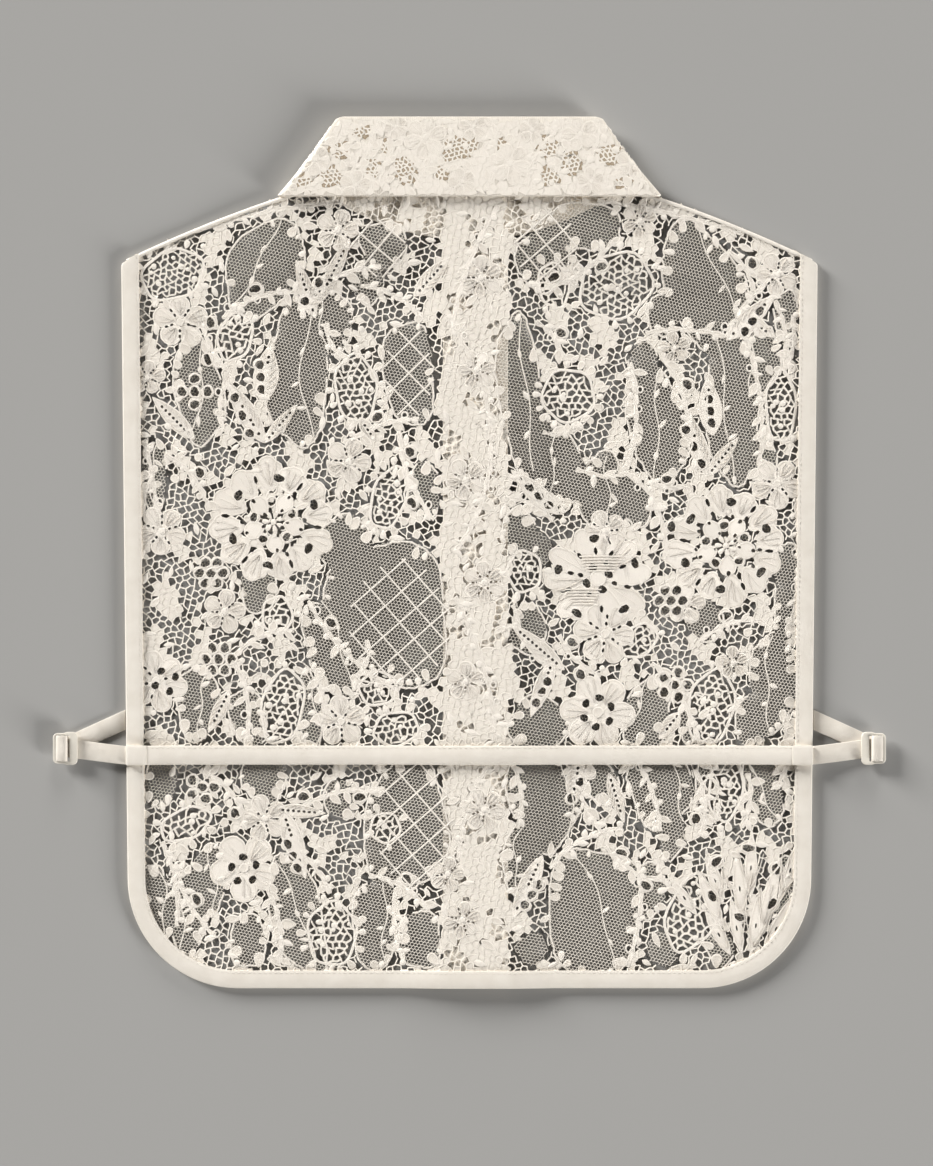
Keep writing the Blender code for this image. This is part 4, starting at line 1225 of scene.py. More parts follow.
# %% Waves, patches, ramps and bumps
def band_node(tree, vector, scale, direction, distortion):
    """Soft waves along one axis, from 0 to 1."""
    inputs = {"Vector": vector, "Scale": scale, "Distortion": distortion, "Detail": 1.0}
    node = new_node(tree, "TexWave", inputs)
    node.bands_direction = direction
    node.wave_profile = "SIN"
    return node.outputs["Fac"]


def noise_node(tree, vector, scale, detail, distortion=0.0):
    """Soft irregular patches, from 0 to 1."""
    inputs = {"Vector": vector, "Scale": scale, "Detail": detail, "Distortion": distortion}
    return new_node(tree, "TexNoise", inputs).outputs["Fac"]


def ranged(tree, value, start, end):
    """How far a value is on its way from start to end, kept between 0 and 1."""
    inputs = {"Value": value, "From Min": start, "From Max": end}
    return new_node(tree, "MapRange", inputs).outputs["Result"]


def ramp_node(tree, value, dark, light, start, end):
    """A colour that is dark up to start and light from end on."""
    node = new_node(tree, "ValToRGB", {"Fac": value})
    for stop, position, colour in zip(node.color_ramp.elements, (start, end), (dark, light)):
        stop.position = position
        stop.color = (*colour, 1)
    return node.outputs["Color"]


def relief_node(tree, height, strength, distance):
    """A bump, with its distance in millimetres."""
    inputs = {"Height": height, "Strength": strength, "Distance": distance * MM}
    return new_node(tree, "Bump", inputs).outputs["Normal"]


# %% Two node groups: yarn and weave
def cloth_group(name):
    """An empty node group from a vector and a scale to a height and a shade."""
    group = bpy.data.node_groups.new(name, "ShaderNodeTree")
    for label, way, kind in (("Vector", "INPUT", "Vector"), ("Scale", "INPUT", "Float"),
                             ("Height", "OUTPUT", "Float"), ("Shade", "OUTPUT", "Float")):
        group.interface.new_socket(label, in_out=way, socket_type="NodeSocket" + kind)
    given = group.nodes.new("NodeGroupInput").outputs
    wanted = group.nodes.new("NodeGroupOutput").inputs
    return group, given["Vector"], given["Scale"], wanted["Height"], wanted["Shade"]


yarn, vector, scale, height, shade = cloth_group("Yarn")
strand = band_node(yarn, vector, scale, "Y", 1.4)
cross = band_node(yarn, vector, math_node(yarn, "MULTIPLY", scale, 0.42), "X", 2.5)
speck = noise_node(yarn, vector, scale, 3.0)
rope = weighted(yarn, strand, 0.6, cross, 0.3)
feed(yarn, height, math_node(yarn, "ADD", rope, math_node(yarn, "MULTIPLY", speck, 0.3)))
# painted shade: the colour is darker where the strands' relief is low, and in random specks
feed(yarn, shade, weighted(yarn, rope, 0.5, speck, 0.5))

weave, vector, scale, height, shade = cloth_group("Weave")
warp = band_node(weave, vector, scale, "X", 0.3)
weft = band_node(weave, vector, scale, "Y", 0.3)
lumps = noise_node(weave, vector, 0.11, 4.0)
woven = math_node(weave, "MULTIPLY", warp, weft)
feed(weave, height, math_node(weave, "ADD", woven, math_node(weave, "MULTIPLY", lumps, 5.0)))
# painted shade: the colour is a little darker between warp threads, and mostly random lumps
feed(weave, shade, weighted(weave, warp, 0.15, lumps, 0.85))
print("groups:", yarn.name, weave.name)

# %% [markdown]
# ## Cloth materials
#
# Cotton and polyester cloth is matt and a little fuzzy. Its colour is painted darker between
# its threads, as shade, and in random specks and lumps. A picture texture would repeat, so
# the colour runs along a ramp with the weave. UV maps here hold millimetres, and Object
# coordinates are metres, so a Mapping node turns metres into millimetres where a piece has
# no UV map.

# %% A material and its shader
def new_material(name, inputs):
    """A material, its node tree and its shader, with some of the shader's inputs set."""
    material = bpy.data.materials.new(name)
    material.use_nodes = True
    shader = material.node_tree.nodes["Principled BSDF"]
    for label, value in inputs.items():
        shader.inputs[label].default_value = value
    return material, material.node_tree, shader


# %% Painted shade in the holes of doubled net
def hole_shade_mask(tree, vector):
    """Where painted shade shows in the holes, and how deep it is. The holes of two nets that
    lie together are painted darker in some places than in others, as deeper shade."""
    cells = new_node(tree, "TexVoronoi", {"Vector": vector, "Scale": 0.50, "Randomness": 0.55})
    depth = ranged(tree, cells.outputs["Distance"], 0.62, 0.30)
    patches = ranged(tree, noise_node(tree, vector, 0.075, 3.0), 0.42, 0.66)
    return math_node(tree, "MULTIPLY", depth, patches), depth


# %% Cloth
def cloth_material(name, dark, light, group, scale, bump, roughness, sheen=0.1, uv=None, holes=None):
    """Cloth whose colour runs from dark to light with its group's shade.

    A piece with a UV map also has a "tone" attribute, which counts for more; in the lace it
    carries painted shade and highlight. Holes is a colour painted into the holes of doubled
    lace, as the shade seen through its net."""
    material, tree, shader = new_material(
        name, {"Sheen Weight": sheen, "Sheen Roughness": 0.5, "Specular IOR Level": 0.25})
    mapping = tree.nodes.new("ShaderNodeMapping")
    if uv:
        place = tree.nodes.new("ShaderNodeUVMap")
        place.uv_map = uv
        feed(tree, mapping.inputs["Vector"], place.outputs["UV"])
    else:
        place = tree.nodes.new("ShaderNodeTexCoord")
        feed(tree, mapping.inputs["Vector"], place.outputs["Object"])
        mapping.inputs["Scale"].default_value = (1 / MM, 1 / MM, 1 / MM)
    detail = tree.nodes.new("ShaderNodeGroup")
    detail.node_tree = group
    feed(tree, detail.inputs["Vector"], mapping.outputs["Vector"])
    feed(tree, detail.inputs["Scale"], scale)
    shade, height = detail.outputs["Shade"], detail.outputs["Height"]
    value = shade
    if uv:
        tone = tree.nodes.new("ShaderNodeAttribute")
        tone.attribute_name = "tone"
        value = weighted(tree, shade, 0.35, tone.outputs["Fac"], 0.65)
    colour = ramp_node(tree, value, dark, light, 0.25, 0.7)
    # painted shade: the holes of doubled lace are coloured darker, and deeper ones darker still
    if holes:
        mask, depth = hole_shade_mask(tree, mapping.outputs["Vector"])
        mix = tree.nodes.new("ShaderNodeMix")
        mix.data_type = "RGBA"
        feed(tree, mix.inputs["Factor"], mask)
        feed(tree, mix.inputs[6], colour)  # 6 and 7 are A and B as colours
        feed(tree, mix.inputs[7], (*holes, 1))
        colour = mix.outputs[2]  # and 2 is the mixed colour
        height = math_node(tree, "SUBTRACT", height, math_node(tree, "MULTIPLY", depth, 1.5))
    feed(tree, shader.inputs["Base Color"], colour)
    feed(tree, shader.inputs["Normal"], relief_node(tree, height, bump, 0.12))
    gloss = math_node(tree, "SUBTRACT", roughness + 0.05, math_node(tree, "MULTIPLY", shade, 0.1))
    feed(tree, shader.inputs["Roughness"], gloss)
    return material


# %% Yarns, tape, thread and satin
# the dark end serves the fine net's low tones, which are painted shade
NET_YARN = cloth_material("net yarn", (0.38, 0.345, 0.30), (0.93, 0.87, 0.78), yarn,
                          scale=1.6, bump=0.5, roughness=0.8, uv="threads")
MOTIF_YARN = cloth_material("motif yarn", (0.66, 0.595, 0.505), (0.96, 0.90, 0.815), yarn,
                            scale=0.9, bump=0.8, roughness=0.75, uv="threads")
COLLAR_YARN = cloth_material("collar yarn", (0.80, 0.735, 0.645), (0.93, 0.87, 0.785), yarn,
                             scale=0.9, bump=0.5, roughness=0.75, uv="threads")
# painted shade: the collar's inner layer is coloured dark brown for the shade deep in its open meshes
COLLAR_HOLE_SHADE = cloth_material("collar hole shade", (0.36, 0.28, 0.19), (0.62, 0.52, 0.40), yarn,
                              scale=0.7, bump=0.4, roughness=0.9, sheen=0.0, uv="threads")
COLLAR_CLOTH = cloth_material("collar cloth", (0.76, 0.70, 0.61), (0.90, 0.84, 0.755), yarn,
                              scale=0.7, bump=0.7, roughness=0.85)
# painted shade: the holes colour stands for the shade seen through the doubled lace's net
DOUBLE_LACE = cloth_material("doubled lace", (0.90, 0.835, 0.74), (0.96, 0.905, 0.82), yarn,
                             scale=0.7, bump=0.7, roughness=0.8, holes=(0.82, 0.73, 0.60))
TAPE = cloth_material("binding tape", (0.80, 0.745, 0.665), (0.87, 0.82, 0.745), weave,
                      scale=2.6, bump=0.25, roughness=0.7)
THREAD = cloth_material("sewing thread", (0.76, 0.70, 0.61), (0.92, 0.87, 0.79), yarn,
                        scale=3.0, bump=0.5, roughness=0.6)
SATIN = cloth_material("satin elastic", (0.70, 0.645, 0.57), (0.81, 0.76, 0.685), weave,
                       scale=1.4, bump=0.6, roughness=0.55, sheen=0.2)
print("materials:", len(bpy.data.materials))

# %% [markdown]
# ## The lace's three layers
#
# The back is one layer. The two fronts lie under it, and are the same lace with its face
# down. Copies of one mesh could be bent with modifiers. Here each layer is laid anew, so
# that its points take their heights straight from the ramps and it fits the solids.

# %% Points kept inside an outline, and new pieces
def snapped(points, outline):
    """Points outside a convex, counter-clockwise outline are moved onto it."""
    points = points.copy()
    for start, end in zip(outline, np.roll(outline, -1, 0)):
        run = (end - start) / np.linalg.norm(end - start)
        outward = np.array([run[1], -run[0]])
        over = np.clip((points - start) @ outward, 0, None)
        points -= over[:, None] * outward
    return points


def new_piece(name, mesh):
    """An object for a mesh, which rides the garment."""
    piece = bpy.data.objects.new(name, mesh)
    bpy.context.collection.objects.link(piece)
    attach(piece, "root")
    return piece


def piece_of(name, points, faces, material):
    """A piece made from points in millimetres and faces."""
    mesh = bpy.data.meshes.new(name)
    mesh.from_pydata((points * MM).tolist(), [], faces)
    mesh.materials.append(material)
    return new_piece(name, mesh)


# %% A layer of lace
def layer_mesh(name, groups, height_at, facing, keep, lift=1.0, trim=None):
    """One mesh from (sheaf, material) pairs, laid on a height and kept where keep says.

    Facing is 1 for lace with its face up and -1 for the same lace face down. Lift makes its
    relief lower or higher, and trim is an outline that no point lies outside of."""
    points, faces, threads, tones, slots, start = [], [], [], [], [], 0
    for number, (sheaf, _) in enumerate(groups):
        flat, heights, triangles, along, tone = sheaf.arrays()
        middle = flat[triangles].mean(1)
        triangles = triangles[keep(middle[:, 0], middle[:, 1])]
        used, triangles = np.unique(triangles, return_inverse=True)
        flat, heights, along = flat[used], heights[used] * lift, along[used]
        if trim is not None:
            flat = snapped(flat, trim)
        base = height_at(flat[:, 0], flat[:, 1])
        z = base + heights if facing > 0 else base + CLOTH - heights
        points.append(np.column_stack([flat, z]) * MM)
        triangles = triangles.reshape(-1, 3)
        faces.append((triangles if facing > 0 else triangles[:, ::-1]) + start)
        threads.append(along)
        tones.append(tone[used])
        slots.append(np.full(len(triangles), number))
        start += len(flat)
    points, faces = np.concatenate(points), np.concatenate(faces)
    mesh = bpy.data.meshes.new(name)
    mesh.vertices.add(len(points))
    mesh.vertices.foreach_set("co", points.ravel())
    mesh.loops.add(faces.size)
    mesh.loops.foreach_set("vertex_index", faces.ravel())
    mesh.polygons.add(len(faces))
    mesh.polygons.foreach_set("loop_start", np.arange(len(faces)) * 3)
    mesh.polygons.foreach_set("material_index", np.concatenate(slots))
    mesh.polygons.foreach_set("use_smooth", np.ones(len(faces), bool))
    mesh.update(calc_edges=True)
    layer = mesh.uv_layers.new(name="threads")
    layer.data.foreach_set("uv", np.concatenate(threads)[faces.ravel()].ravel())
    tone = mesh.attributes.new("tone", "FLOAT", "POINT")
    tone.data.foreach_set("value", np.concatenate(tones))
    for _, material in groups:
        mesh.materials.append(material)
    print(name, len(faces), "triangles")
    return new_piece(name, mesh)


# %% Where the back and the fronts reach
NECK_LAP = 0.8  # the fronts' lace goes this far past the neckline
PLACKET_LAP = 0.9  # and this far in under the plackets


def back_part(x, y):
    return looked_up(cloth, np.column_stack([x, y]))


def front_neck(x):
    return FRONT_NECK_Y + (NECK_Y - FRONT_NECK_Y) * (x / NECK_HALF) ** 2


def front_part(x, y):
    top = np.where(np.abs(x) < NECK_HALF, front_neck(x) + NECK_LAP, shoulder_y(x))
    return back_part(x, y) & (y < top)


def left_part(x, y):
    return front_part(x, y) & (x < PLACKET_X - PLACKET_HALF + PLACKET_LAP)


def right_part(x, y):
    return front_part(x, y) & (x > PLACKET_X + PLACKET_HALF - PLACKET_LAP)


# %% The back and the fronts
back_net = layer_mesh("lace_back_net", [(ground, NET_YARN)], back_height, 1, back_part)
back_motifs = layer_mesh("lace_back_motifs", [(motifs, MOTIF_YARN)], back_height, 1, back_part)
fronts = [(ground, NET_YARN), (behind, NET_YARN), (motifs, MOTIF_YARN)]
front_left = layer_mesh("lace_front_left", fronts, left_front_height, -1, left_part)
front_right = layer_mesh("lace_front_right", fronts, right_front_height, -1, right_part)
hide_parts("back_panel")
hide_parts("front_panel_left")
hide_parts("front_panel_right")
for piece in (back_net, back_motifs, front_left, front_right):
    area = sum(polygon.area for polygon in piece.data.polygons)
    print(piece.name, "has a surface of", round(area, 4), "m2, relief and all")

# %% [markdown]
# ## Bindings
#
# A bias strip is folded round each edge. It is a U in section: its rounded fold lies on
# the outside, and its two turned edges hold the lace. A bevelled curve would be round all
# over, so the U is swept along the edge, and given the strip's own thickness.

# %% Rounded corners at the shoulder tips
WALL = 0.32  # the strip's own thickness
SHOULDER_SLOPE = 0.46  # how fast a shoulder rises towards the neck
TIP_EDGE = 3  # a corner's points lie within this of the widest line
TIP_BLEND = 5  # across this much of a strip its rounded corner fades out


def tip_trimmed(spot, flat, inward):
    """Rounds a strip's outer corner at a shoulder tip and slants its end like the shoulder."""
    drop = TIP_Y - spot[1]
    if drop > TIP_RADIUS or abs(spot[0]) < HALF_WIDTH - TIP_EDGE:
        return flat
    corner = TIP_RADIUS - math.sqrt(TIP_RADIUS ** 2 - (TIP_RADIUS - drop) ** 2)
    sideways = -math.copysign(corner, spot[0]) * np.clip(1 - inward / TIP_BLEND, 0, 1)
    upward = SHOULDER_SLOPE * inward * (1 - drop / TIP_RADIUS)
    return flat + np.concatenate([sideways, upward], 1)


# %% Shells
def only(piece):
    """Makes a piece the only selected one, for the operators that follow."""
    bpy.ops.object.select_all(action="DESELECT")
    piece.select_set(True)
    bpy.context.view_layer.objects.active = piece


def tidy_shell(piece):
    """Turns a shell's faces outward and shades it smooth."""
    only(piece)
    bpy.ops.object.mode_set(mode="EDIT")
    bpy.ops.mesh.select_all(action="SELECT")
    bpy.ops.mesh.normals_make_consistent(inside=False)
    bpy.ops.object.mode_set(mode="OBJECT")
    bpy.ops.object.shade_smooth_by_angle(angle=math.radians(50))


def swept_shell(name, path, sections, tips=False):
    """A closed thin shell of tape: an outer and an inner row of points swept along a path."""
    rows = []
    for spot, turn, (outer, inner) in zip(path, headings(path), sections):
        normal = np.array([math.sin(turn), -math.cos(turn)])
        ring = np.concatenate([outer, inner[::-1]])
        flat = spot + normal * ring[:, :1]
        if tips:
            flat = tip_trimmed(spot, flat, -ring[:, :1])
        rows.append(np.column_stack([flat, ring[:, 1]]))
    rows = np.array(rows)
    index = np.arange(rows.shape[0] * rows.shape[1]).reshape(rows.shape[:2])
    right = np.roll(index, -1, 1)
    quads = np.stack([index[:-1], right[:-1], right[1:], index[1:]], -1).reshape(-1, 4)
    caps = [tuple(index[0][::-1]), tuple(index[-1])]
    piece = piece_of(name, rows.reshape(-1, 3), quads.tolist() + caps, TAPE)
    tidy_shell(piece)
    return piece


# %% The U and the strip
def u_section(low, high, width, puff):
    """A flattened U's outer and inner sides, from the top edge round the fold to the bottom."""
    middle, half = (low + high) / 2, (high - low) / 2
    turn = np.radians(np.linspace(90, -90, 7))
    nose = np.stack([-half * 0.9 + half * 0.9 * np.cos(turn), middle + half * np.sin(turn)], 1)
    top = np.array([[-width, high - 0.12], [-width + 0.5, high + 0.02], [-width * 0.55, high + puff]])
    bottom = np.array([[-width * 0.55, low], [-width + 0.5, low + 0.03], [-width, low + 0.12]])
    outer = np.concatenate([top, nose, bottom])
    tangent = np.gradient(outer, axis=0)
    tangent /= np.linalg.norm(tangent, axis=1)[:, None]
    inner = outer + np.stack([tangent[:, 1], -tangent[:, 0]], 1) * WALL
    return outer, inner


def binding(name, path, height_at):
    """A folded strip whose outer edge is the path, with the cloth on the path's left."""
    lows = height_at(path[:, 0], path[:, 1])
    steps = np.arange(len(path))
    ripple = 0.05 * np.sin(steps * 0.9) + 0.05 * np.sin(steps * 0.37)
    sections = [u_section(low, low + DOUBLE, BINDING, 0.03 + bump) for low, bump in zip(lows, ripple)]
    return swept_shell(name, path, sections, tips=True)


def back_binding_height(x, y):
    return back_height(x, y) + DOUBLE - CLOTH


print("points round the U:", 2 * len(u_section(0.0, DOUBLE, BINDING, 0.03)[0]))

# %% The three bindings
TIP_DROPS = (0.0, 0.5, 1.2, 2.1)  # close steps down from a shoulder tip, for its round corner
tip_rows = TIP_Y - np.array(TIP_DROPS)
right_edge = np.concatenate([np.stack([side_x(tip_rows), tip_rows], 1), half_edge(0.0)[1:]])
round_back = np.concatenate([right_edge, mirrored(right_edge)[1:]])
print("binding runs", round(np.hypot(*np.diff(round_back, axis=0).T).sum()), "mm")

LEFT_END, RIGHT_END = PLACKET_X - PLACKET_HALF - GAP, PLACKET_X + PLACKET_HALF + GAP
around = round_back[::-1]  # from the left tip down, along the hem and up the right
left_path = np.vstack([around[around[:, 0] < LEFT_END], [[LEFT_END, HEM_Y]]])
right_path = np.vstack([[[RIGHT_END, HEM_Y]], around[around[:, 0] > RIGHT_END]])
bindings = {
    "binding_back": binding("hem_binding_back", around, back_binding_height),
    "binding_front_left": binding("hem_binding_front_left", left_path, left_front_height),
    "binding_front_right": binding("hem_binding_front_right", right_path, right_front_height),
}
for node, piece in bindings.items():
    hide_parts(node)
    corners = np.array(piece.bound_box) / MM
    print(piece.name, np.round(corners.min(0), 1), np.round(corners.max(0), 1))

# %% [markdown]
# ## Shoulder seams
#
# At the shoulders the back and the fronts are sewn together, and the edge is turned. It
# is the binding's U again, narrower, and as high as the two layers that it holds.

# %% Shoulder seams
SEAM_WIDTH = 2.2


def shoulder_seam(side):
    """The turned edge that joins a back shoulder to a front one."""
    across = np.linspace(HALF_WIDTH - 2.6, NECK_HALF - 4, 40)
    path = np.stack([side * across, shoulder_y(across) + 0.2], 1)
    path = path if side > 0 else path[::-1]
    fronts = right_front_height if side > 0 else left_front_height
    sections = []
    for x, y in path:
        low = float(fronts(x, y)) - 0.02
        high = float(back_height(x, y)) + CLOTH + 0.12
        sections.append(u_section(low, high, SEAM_WIDTH, 0.04 * math.sin(x * 1.3)))
    return swept_shell("shoulder_seam_" + ("right" if side > 0 else "left"), path, sections)


shoulders = [shoulder_seam(-1), shoulder_seam(1)]
print("shoulder seams:", len(shoulders))

# %% [markdown]
# ## Waist tape, plackets and collar
#
# These are plain folded strips, and the solids already have their shapes. Modelling them
# again would only risk a difference. A copy of the solid is merged into whole faces, its
# edges are rounded over as folded cloth's are, and it gets its own material.

# %% Rounded copies of solids
def edges_rounded(piece, width, turn, segments=2):
    """Rounds every edge that turns by more than some degrees."""
    bevel = piece.modifiers.new("round over", "BEVEL")
    bevel.width = width * MM
    bevel.segments = segments
    bevel.limit_method = "ANGLE"
    bevel.angle_limit = math.radians(turn)
    bpy.ops.object.modifier_apply(modifier=bevel.name)


def rounded_copy(node, name, radius, material, segments=2):
    """A solid's copy with rounded edges, which stands for that solid."""
    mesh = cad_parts[node].data.copy()
    mesh.materials.clear()
    mesh.materials.append(material)
    piece = new_piece(name, mesh)
    only(piece)
    bpy.ops.object.mode_set(mode="EDIT")
    bpy.ops.mesh.select_all(action="SELECT")
    bpy.ops.mesh.remove_doubles(threshold=0.00001)
    bpy.ops.mesh.dissolve_limited(angle_limit=math.radians(1.0))
    bpy.ops.object.mode_set(mode="OBJECT")
    edges_rounded(piece, radius, 40, segments)
    piece.data.polygons.foreach_set("material_index", np.zeros(len(piece.data.polygons), int))
    bpy.ops.object.shade_smooth_by_angle(angle=math.radians(35))
    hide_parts(node)
    print(name, len(piece.data.polygons), "faces")
    return piece


# %% Waist tape, plackets and collar
waist = rounded_copy("waist_band", "waist_tape", 0.3, TAPE)
placket_over = rounded_copy("placket_right", "placket_over", 0.35, DOUBLE_LACE)
placket_under = rounded_copy("placket_left", "placket_under", 0.35, DOUBLE_LACE)
fall = rounded_copy("collar_fall", "collar_fall_cloth", 0.35, COLLAR_CLOTH)
stand = rounded_copy("collar_stand", "collar_stand_cloth", 0.3, DOUBLE_LACE)

# %% [markdown]
# ## The collar's lace face
#
# The collar is doubled, so its lace is nearly closed: most meshes are filled, and small
# clusters of open ones show the layer inside, which is coloured dark brown as painted
# shade. A Shrinkwrap modifier could lay the lace on the fall. Looking straight down on the
# solid gives the same heights before the mesh is made, so the collar is laid by the same
# function as the back.

# %% Looking down on a solid
def height_from_above(node):
    """A function for the height of a solid's upper face."""
    shape = bmesh.new()
    shape.from_mesh(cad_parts[node].data)
    tree = BVHTree.FromBMesh(shape)
    shape.free()

    def height_at(x, y):
        heights = np.zeros(len(x))
        for index, (px, py) in enumerate(zip(x, y)):
            hit = tree.ray_cast(Vector((px * MM, py * MM, 0.1)), Vector((0, 0, -1)))[0]
            heights[index] = hit.z / MM if hit else FIELD_Z
        return heights
    return height_at


# %% The collar's pattern
FALL_SIDES = (  # the fall's corners, from the left point round to the fold's left end
    (-104.8, 194.2), (104.8, 194.2), (76.9, 233.8), (74.0, 236.6), (70.5, 237.5),
    (-70.5, 237.5), (-74.0, 236.6), (-76.9, 233.8),
)
COLLAR_FLOWERS = (  # x, y, radius, petals, turn
    (-24, 226, 12, 6, 0.3), (22, 212, 12, 6, 0.8), (-62, 200, 9, 5, 0.2), (60, 228, 10, 5, 0.6),
    (-84, 214, 9, 5, 0.9), (88, 212, 9, 5, 0.1), (2, 232, 8, 5, 0.5), (-40, 232, 7, 5, 0.7),
    (34, 230, 8, 5, 0.2), (66, 202, 8, 5, 0.4), (-4, 202, 8, 5, 0.6), (-100, 199, 6, 5, 0.0),
)
COLLAR_CELLS = (  # x, y, half width, half height
    (-59, 229, 6, 4), (-71, 219, 6, 5), (-53, 210, 5, 7), (-35, 208, 6, 9), (-7, 220, 13, 7),
    (-16, 207, 4, 5), (16, 223, 3, 4), (43, 221, 6, 6), (54, 212, 7, 7), (76, 217, 7, 6),
    (44, 205, 5, 6), (-76, 205, 7, 6), (-90, 202, 5, 4), (-46, 221, 4, 5), (84, 202, 6, 4),
)
COLLAR_VINES = (  # start x, start y, end x, end y, bow
    (-98, 200, -76, 232, 3), (-66, 206, -50, 234, -3), (-30, 198, -14, 216, 3),
    (8, 198, 12, 234, -4), (30, 200, 50, 232, 4), (62, 210, 70, 234, -3), (74, 204, 96, 200, 3),
    (-48, 202, -40, 222, 2), (-84, 224, -64, 214, 2),
)
collar = Drawing()
for flower in COLLAR_FLOWERS:
    blossom(collar, *flower)
for x0, y0, x1, y1, bow in COLLAR_VINES:
    vine(collar, (x0, y0), (x1, y1), bow, 1.6)
for x, y, half_width, half_height in COLLAR_CELLS:
    medallion(collar, x, y, half_width, half_height, 0.3, 2.9, 4)
collar.plates = [(turned_left(outline), *rest) for outline, *rest in collar.plates]
print("collar plates", len(collar.plates), "cords", len(collar.cords))

# %% The collar's relief
THICK_CORD = 1.2  # cords from this width on are left out here
collar_lace = Sheaf()
for outline, level, x, y, turn in collar.plates:
    raised_plate(collar_lace, outline, level, x, y, turn, [])
for path, width, level in collar.cords:
    if width < THICK_CORD:
        ribbon(collar_lace, path, width, CORD_HEIGHT + level)
print("collar triangles", sum(len(faces) for faces in collar_lace.faces))

# %% The collar's open and filled meshes
FALL_LOW, FALL_HIGH = np.array([-106.0, 193.0]), np.array([106.0, 239.0])
FALL_MARGIN = 1.1  # the lace ends this far inside the fall's edge
fall_inside = inset(turned_left(np.array(FALL_SIDES)), FALL_MARGIN)
bare = mask_of([fall_inside]) & ~covered_by(collar.plates)
open_cells = mask_of(outline for outline, *_ in collar.fields)
net(collar_lace, bare & open_cells, FALL_LOW, FALL_HIGH, pitch=2.6, width=0.95, turn=0.2, jitter=0.12,
    height=0.42, tone=0.9)
# the inner layer is real, and its dark colour is painted shade
collar_holes = Sheaf()  # the same meshes deeper down, filled, as the layer inside
net(collar_holes, bare & open_cells, FALL_LOW, FALL_HIGH, pitch=2.6, width=0.3, turn=0.2, jitter=0.12,
    height=0.24, tone=0.9, filled=lambda spots: patchy(spots, 7, 6) > -1.1)
# its fillings are painted darker still, as shade
collar_holes.tones[-1] = collar_holes.tones[-1] - 0.5  # the fillings, which came last
net(collar_lace, bare & ~open_cells, FALL_LOW, FALL_HIGH, pitch=4.6, width=0.5, turn=0.2, jitter=0.17,
    height=0.36, tone=0.9, filled=lambda spots: patchy(spots, 14, 8) > -1.7)
print("and with the net", sum(len(faces) for faces in collar_lace.faces + collar_holes.faces))

# %% Lace on the collar and on the placket
COLLAR_LIFT = 0.36  # the collar's and the placket's relief, as shares of the panels'
PLACKET_LIFT = 0.5


def on_fall(x, y):
    middles = np.column_stack([x, y])
    return np.hypot(*(middles - snapped(middles, fall_inside)).T) < 1e-6


def on_placket(x, y):
    inside = np.abs(x - PLACKET_X) < PLACKET_HALF - 0.5
    return inside & (y < over_high[1] - 0.6) & (y > over_low[1] + 0.6)


def placket_face(x, y):
    return np.full(len(x), OUTER_Z - CLOTH + 0.15)


fall_lace = layer_mesh("collar_fall_lace", [(collar_lace, COLLAR_YARN), (collar_holes, COLLAR_HOLE_SHADE)],
                       height_from_above("collar_fall"), 1, on_fall, COLLAR_LIFT, fall_inside)
placket_lace = layer_mesh("placket_lace", [(ground, NET_YARN), (motifs, MOTIF_YARN)],
                          placket_face, -1, on_placket, PLACKET_LIFT)

# %% [markdown]
# ## Stitches
#
# A row of stitches holds each folded edge. An Array modifier along a curve would do, but
# its stitches would bend and stretch at the corners. Here each one is a short low ridge
# of thread with eight faces, because there are hundreds, and each row is one joined mesh.

# %% A row of stitches
STITCH_LONG = 2.0
STITCH_APART = 0.9  # between a stitch's end and the next one's start
STITCH_WIDE = 0.42
STITCH_RISE = 0.16  # of a stitch's ridge over the cloth
STITCH_SUNK = 0.04  # its rim lies this deep in it
STITCH_FACES = np.array([  # from the start's point, 0, round the ridge, 3 and 6, to the end's, 7
    (0, 3, 1), (0, 2, 3), (1, 3, 6), (1, 6, 4), (3, 2, 5), (3, 5, 6), (4, 6, 7), (6, 5, 7)])


def stitch_row(path, height_at):
    """Points and faces of stitches along a path of x, y points."""
    steps = np.concatenate([[0], np.cumsum(np.hypot(*np.diff(path, axis=0).T))])

    def at(along):
        return np.stack([np.interp(along, steps, path[:, axis]) for axis in (0, 1)], 1)

    starts = np.arange(0.5, steps[-1] - STITCH_LONG, STITCH_LONG + STITCH_APART)
    begin, end = at(starts), at(starts + STITCH_LONG)
    run = (end - begin) / STITCH_LONG
    side = np.stack([-run[:, 1], run[:, 0]], 1) * STITCH_WIDE / 2
    inner, outer = begin + run * 0.35, end - run * 0.35
    rings = [begin, inner + side, inner - side, inner, outer + side, outer - side, outer, end]
    flat = np.stack(rings, 1).reshape(-1, 2)
    z = height_at(flat[:, 0], flat[:, 1]) - STITCH_SUNK
    z = z + np.tile([STITCH_RISE + STITCH_SUNK if k in (3, 6) else 0.0 for k in range(8)], len(starts))
    faces = (np.arange(len(starts))[:, None, None] * 8 + STITCH_FACES).reshape(-1, 3)
    return np.column_stack([flat, z]), faces


def stitched(name, rows):
    """One piece from some rows of stitches."""
    points, faces, start = [], [], 0
    for spots, triangles in rows:
        points.append(spots)
        faces.append(triangles[:, ::-1] + start)
        start += len(spots)
    piece = piece_of(name, np.concatenate(points), np.concatenate(faces).tolist(), THREAD)
    piece.data.polygons.foreach_set("use_smooth", np.ones(len(piece.data.polygons), bool))
    print(name, start // 8, "stitches")
    return piece


# %% Stitches on the back's binding and the waist tape
ROW_FROM_MIDDLE = 4.0  # the waist tape's two rows
ROW_FROM_EDGE = 1.2  # the binding's row from its inner edge
waist_low, waist_high = box_mm("waist_band")
WAIST_Y = (waist_low[1] + waist_high[1]) / 2


def binding_top(x, y):
    return back_binding_height(x, y) + DOUBLE + 0.03


def waist_top(x, y):
    return waist_height(x, y) + CLOTH


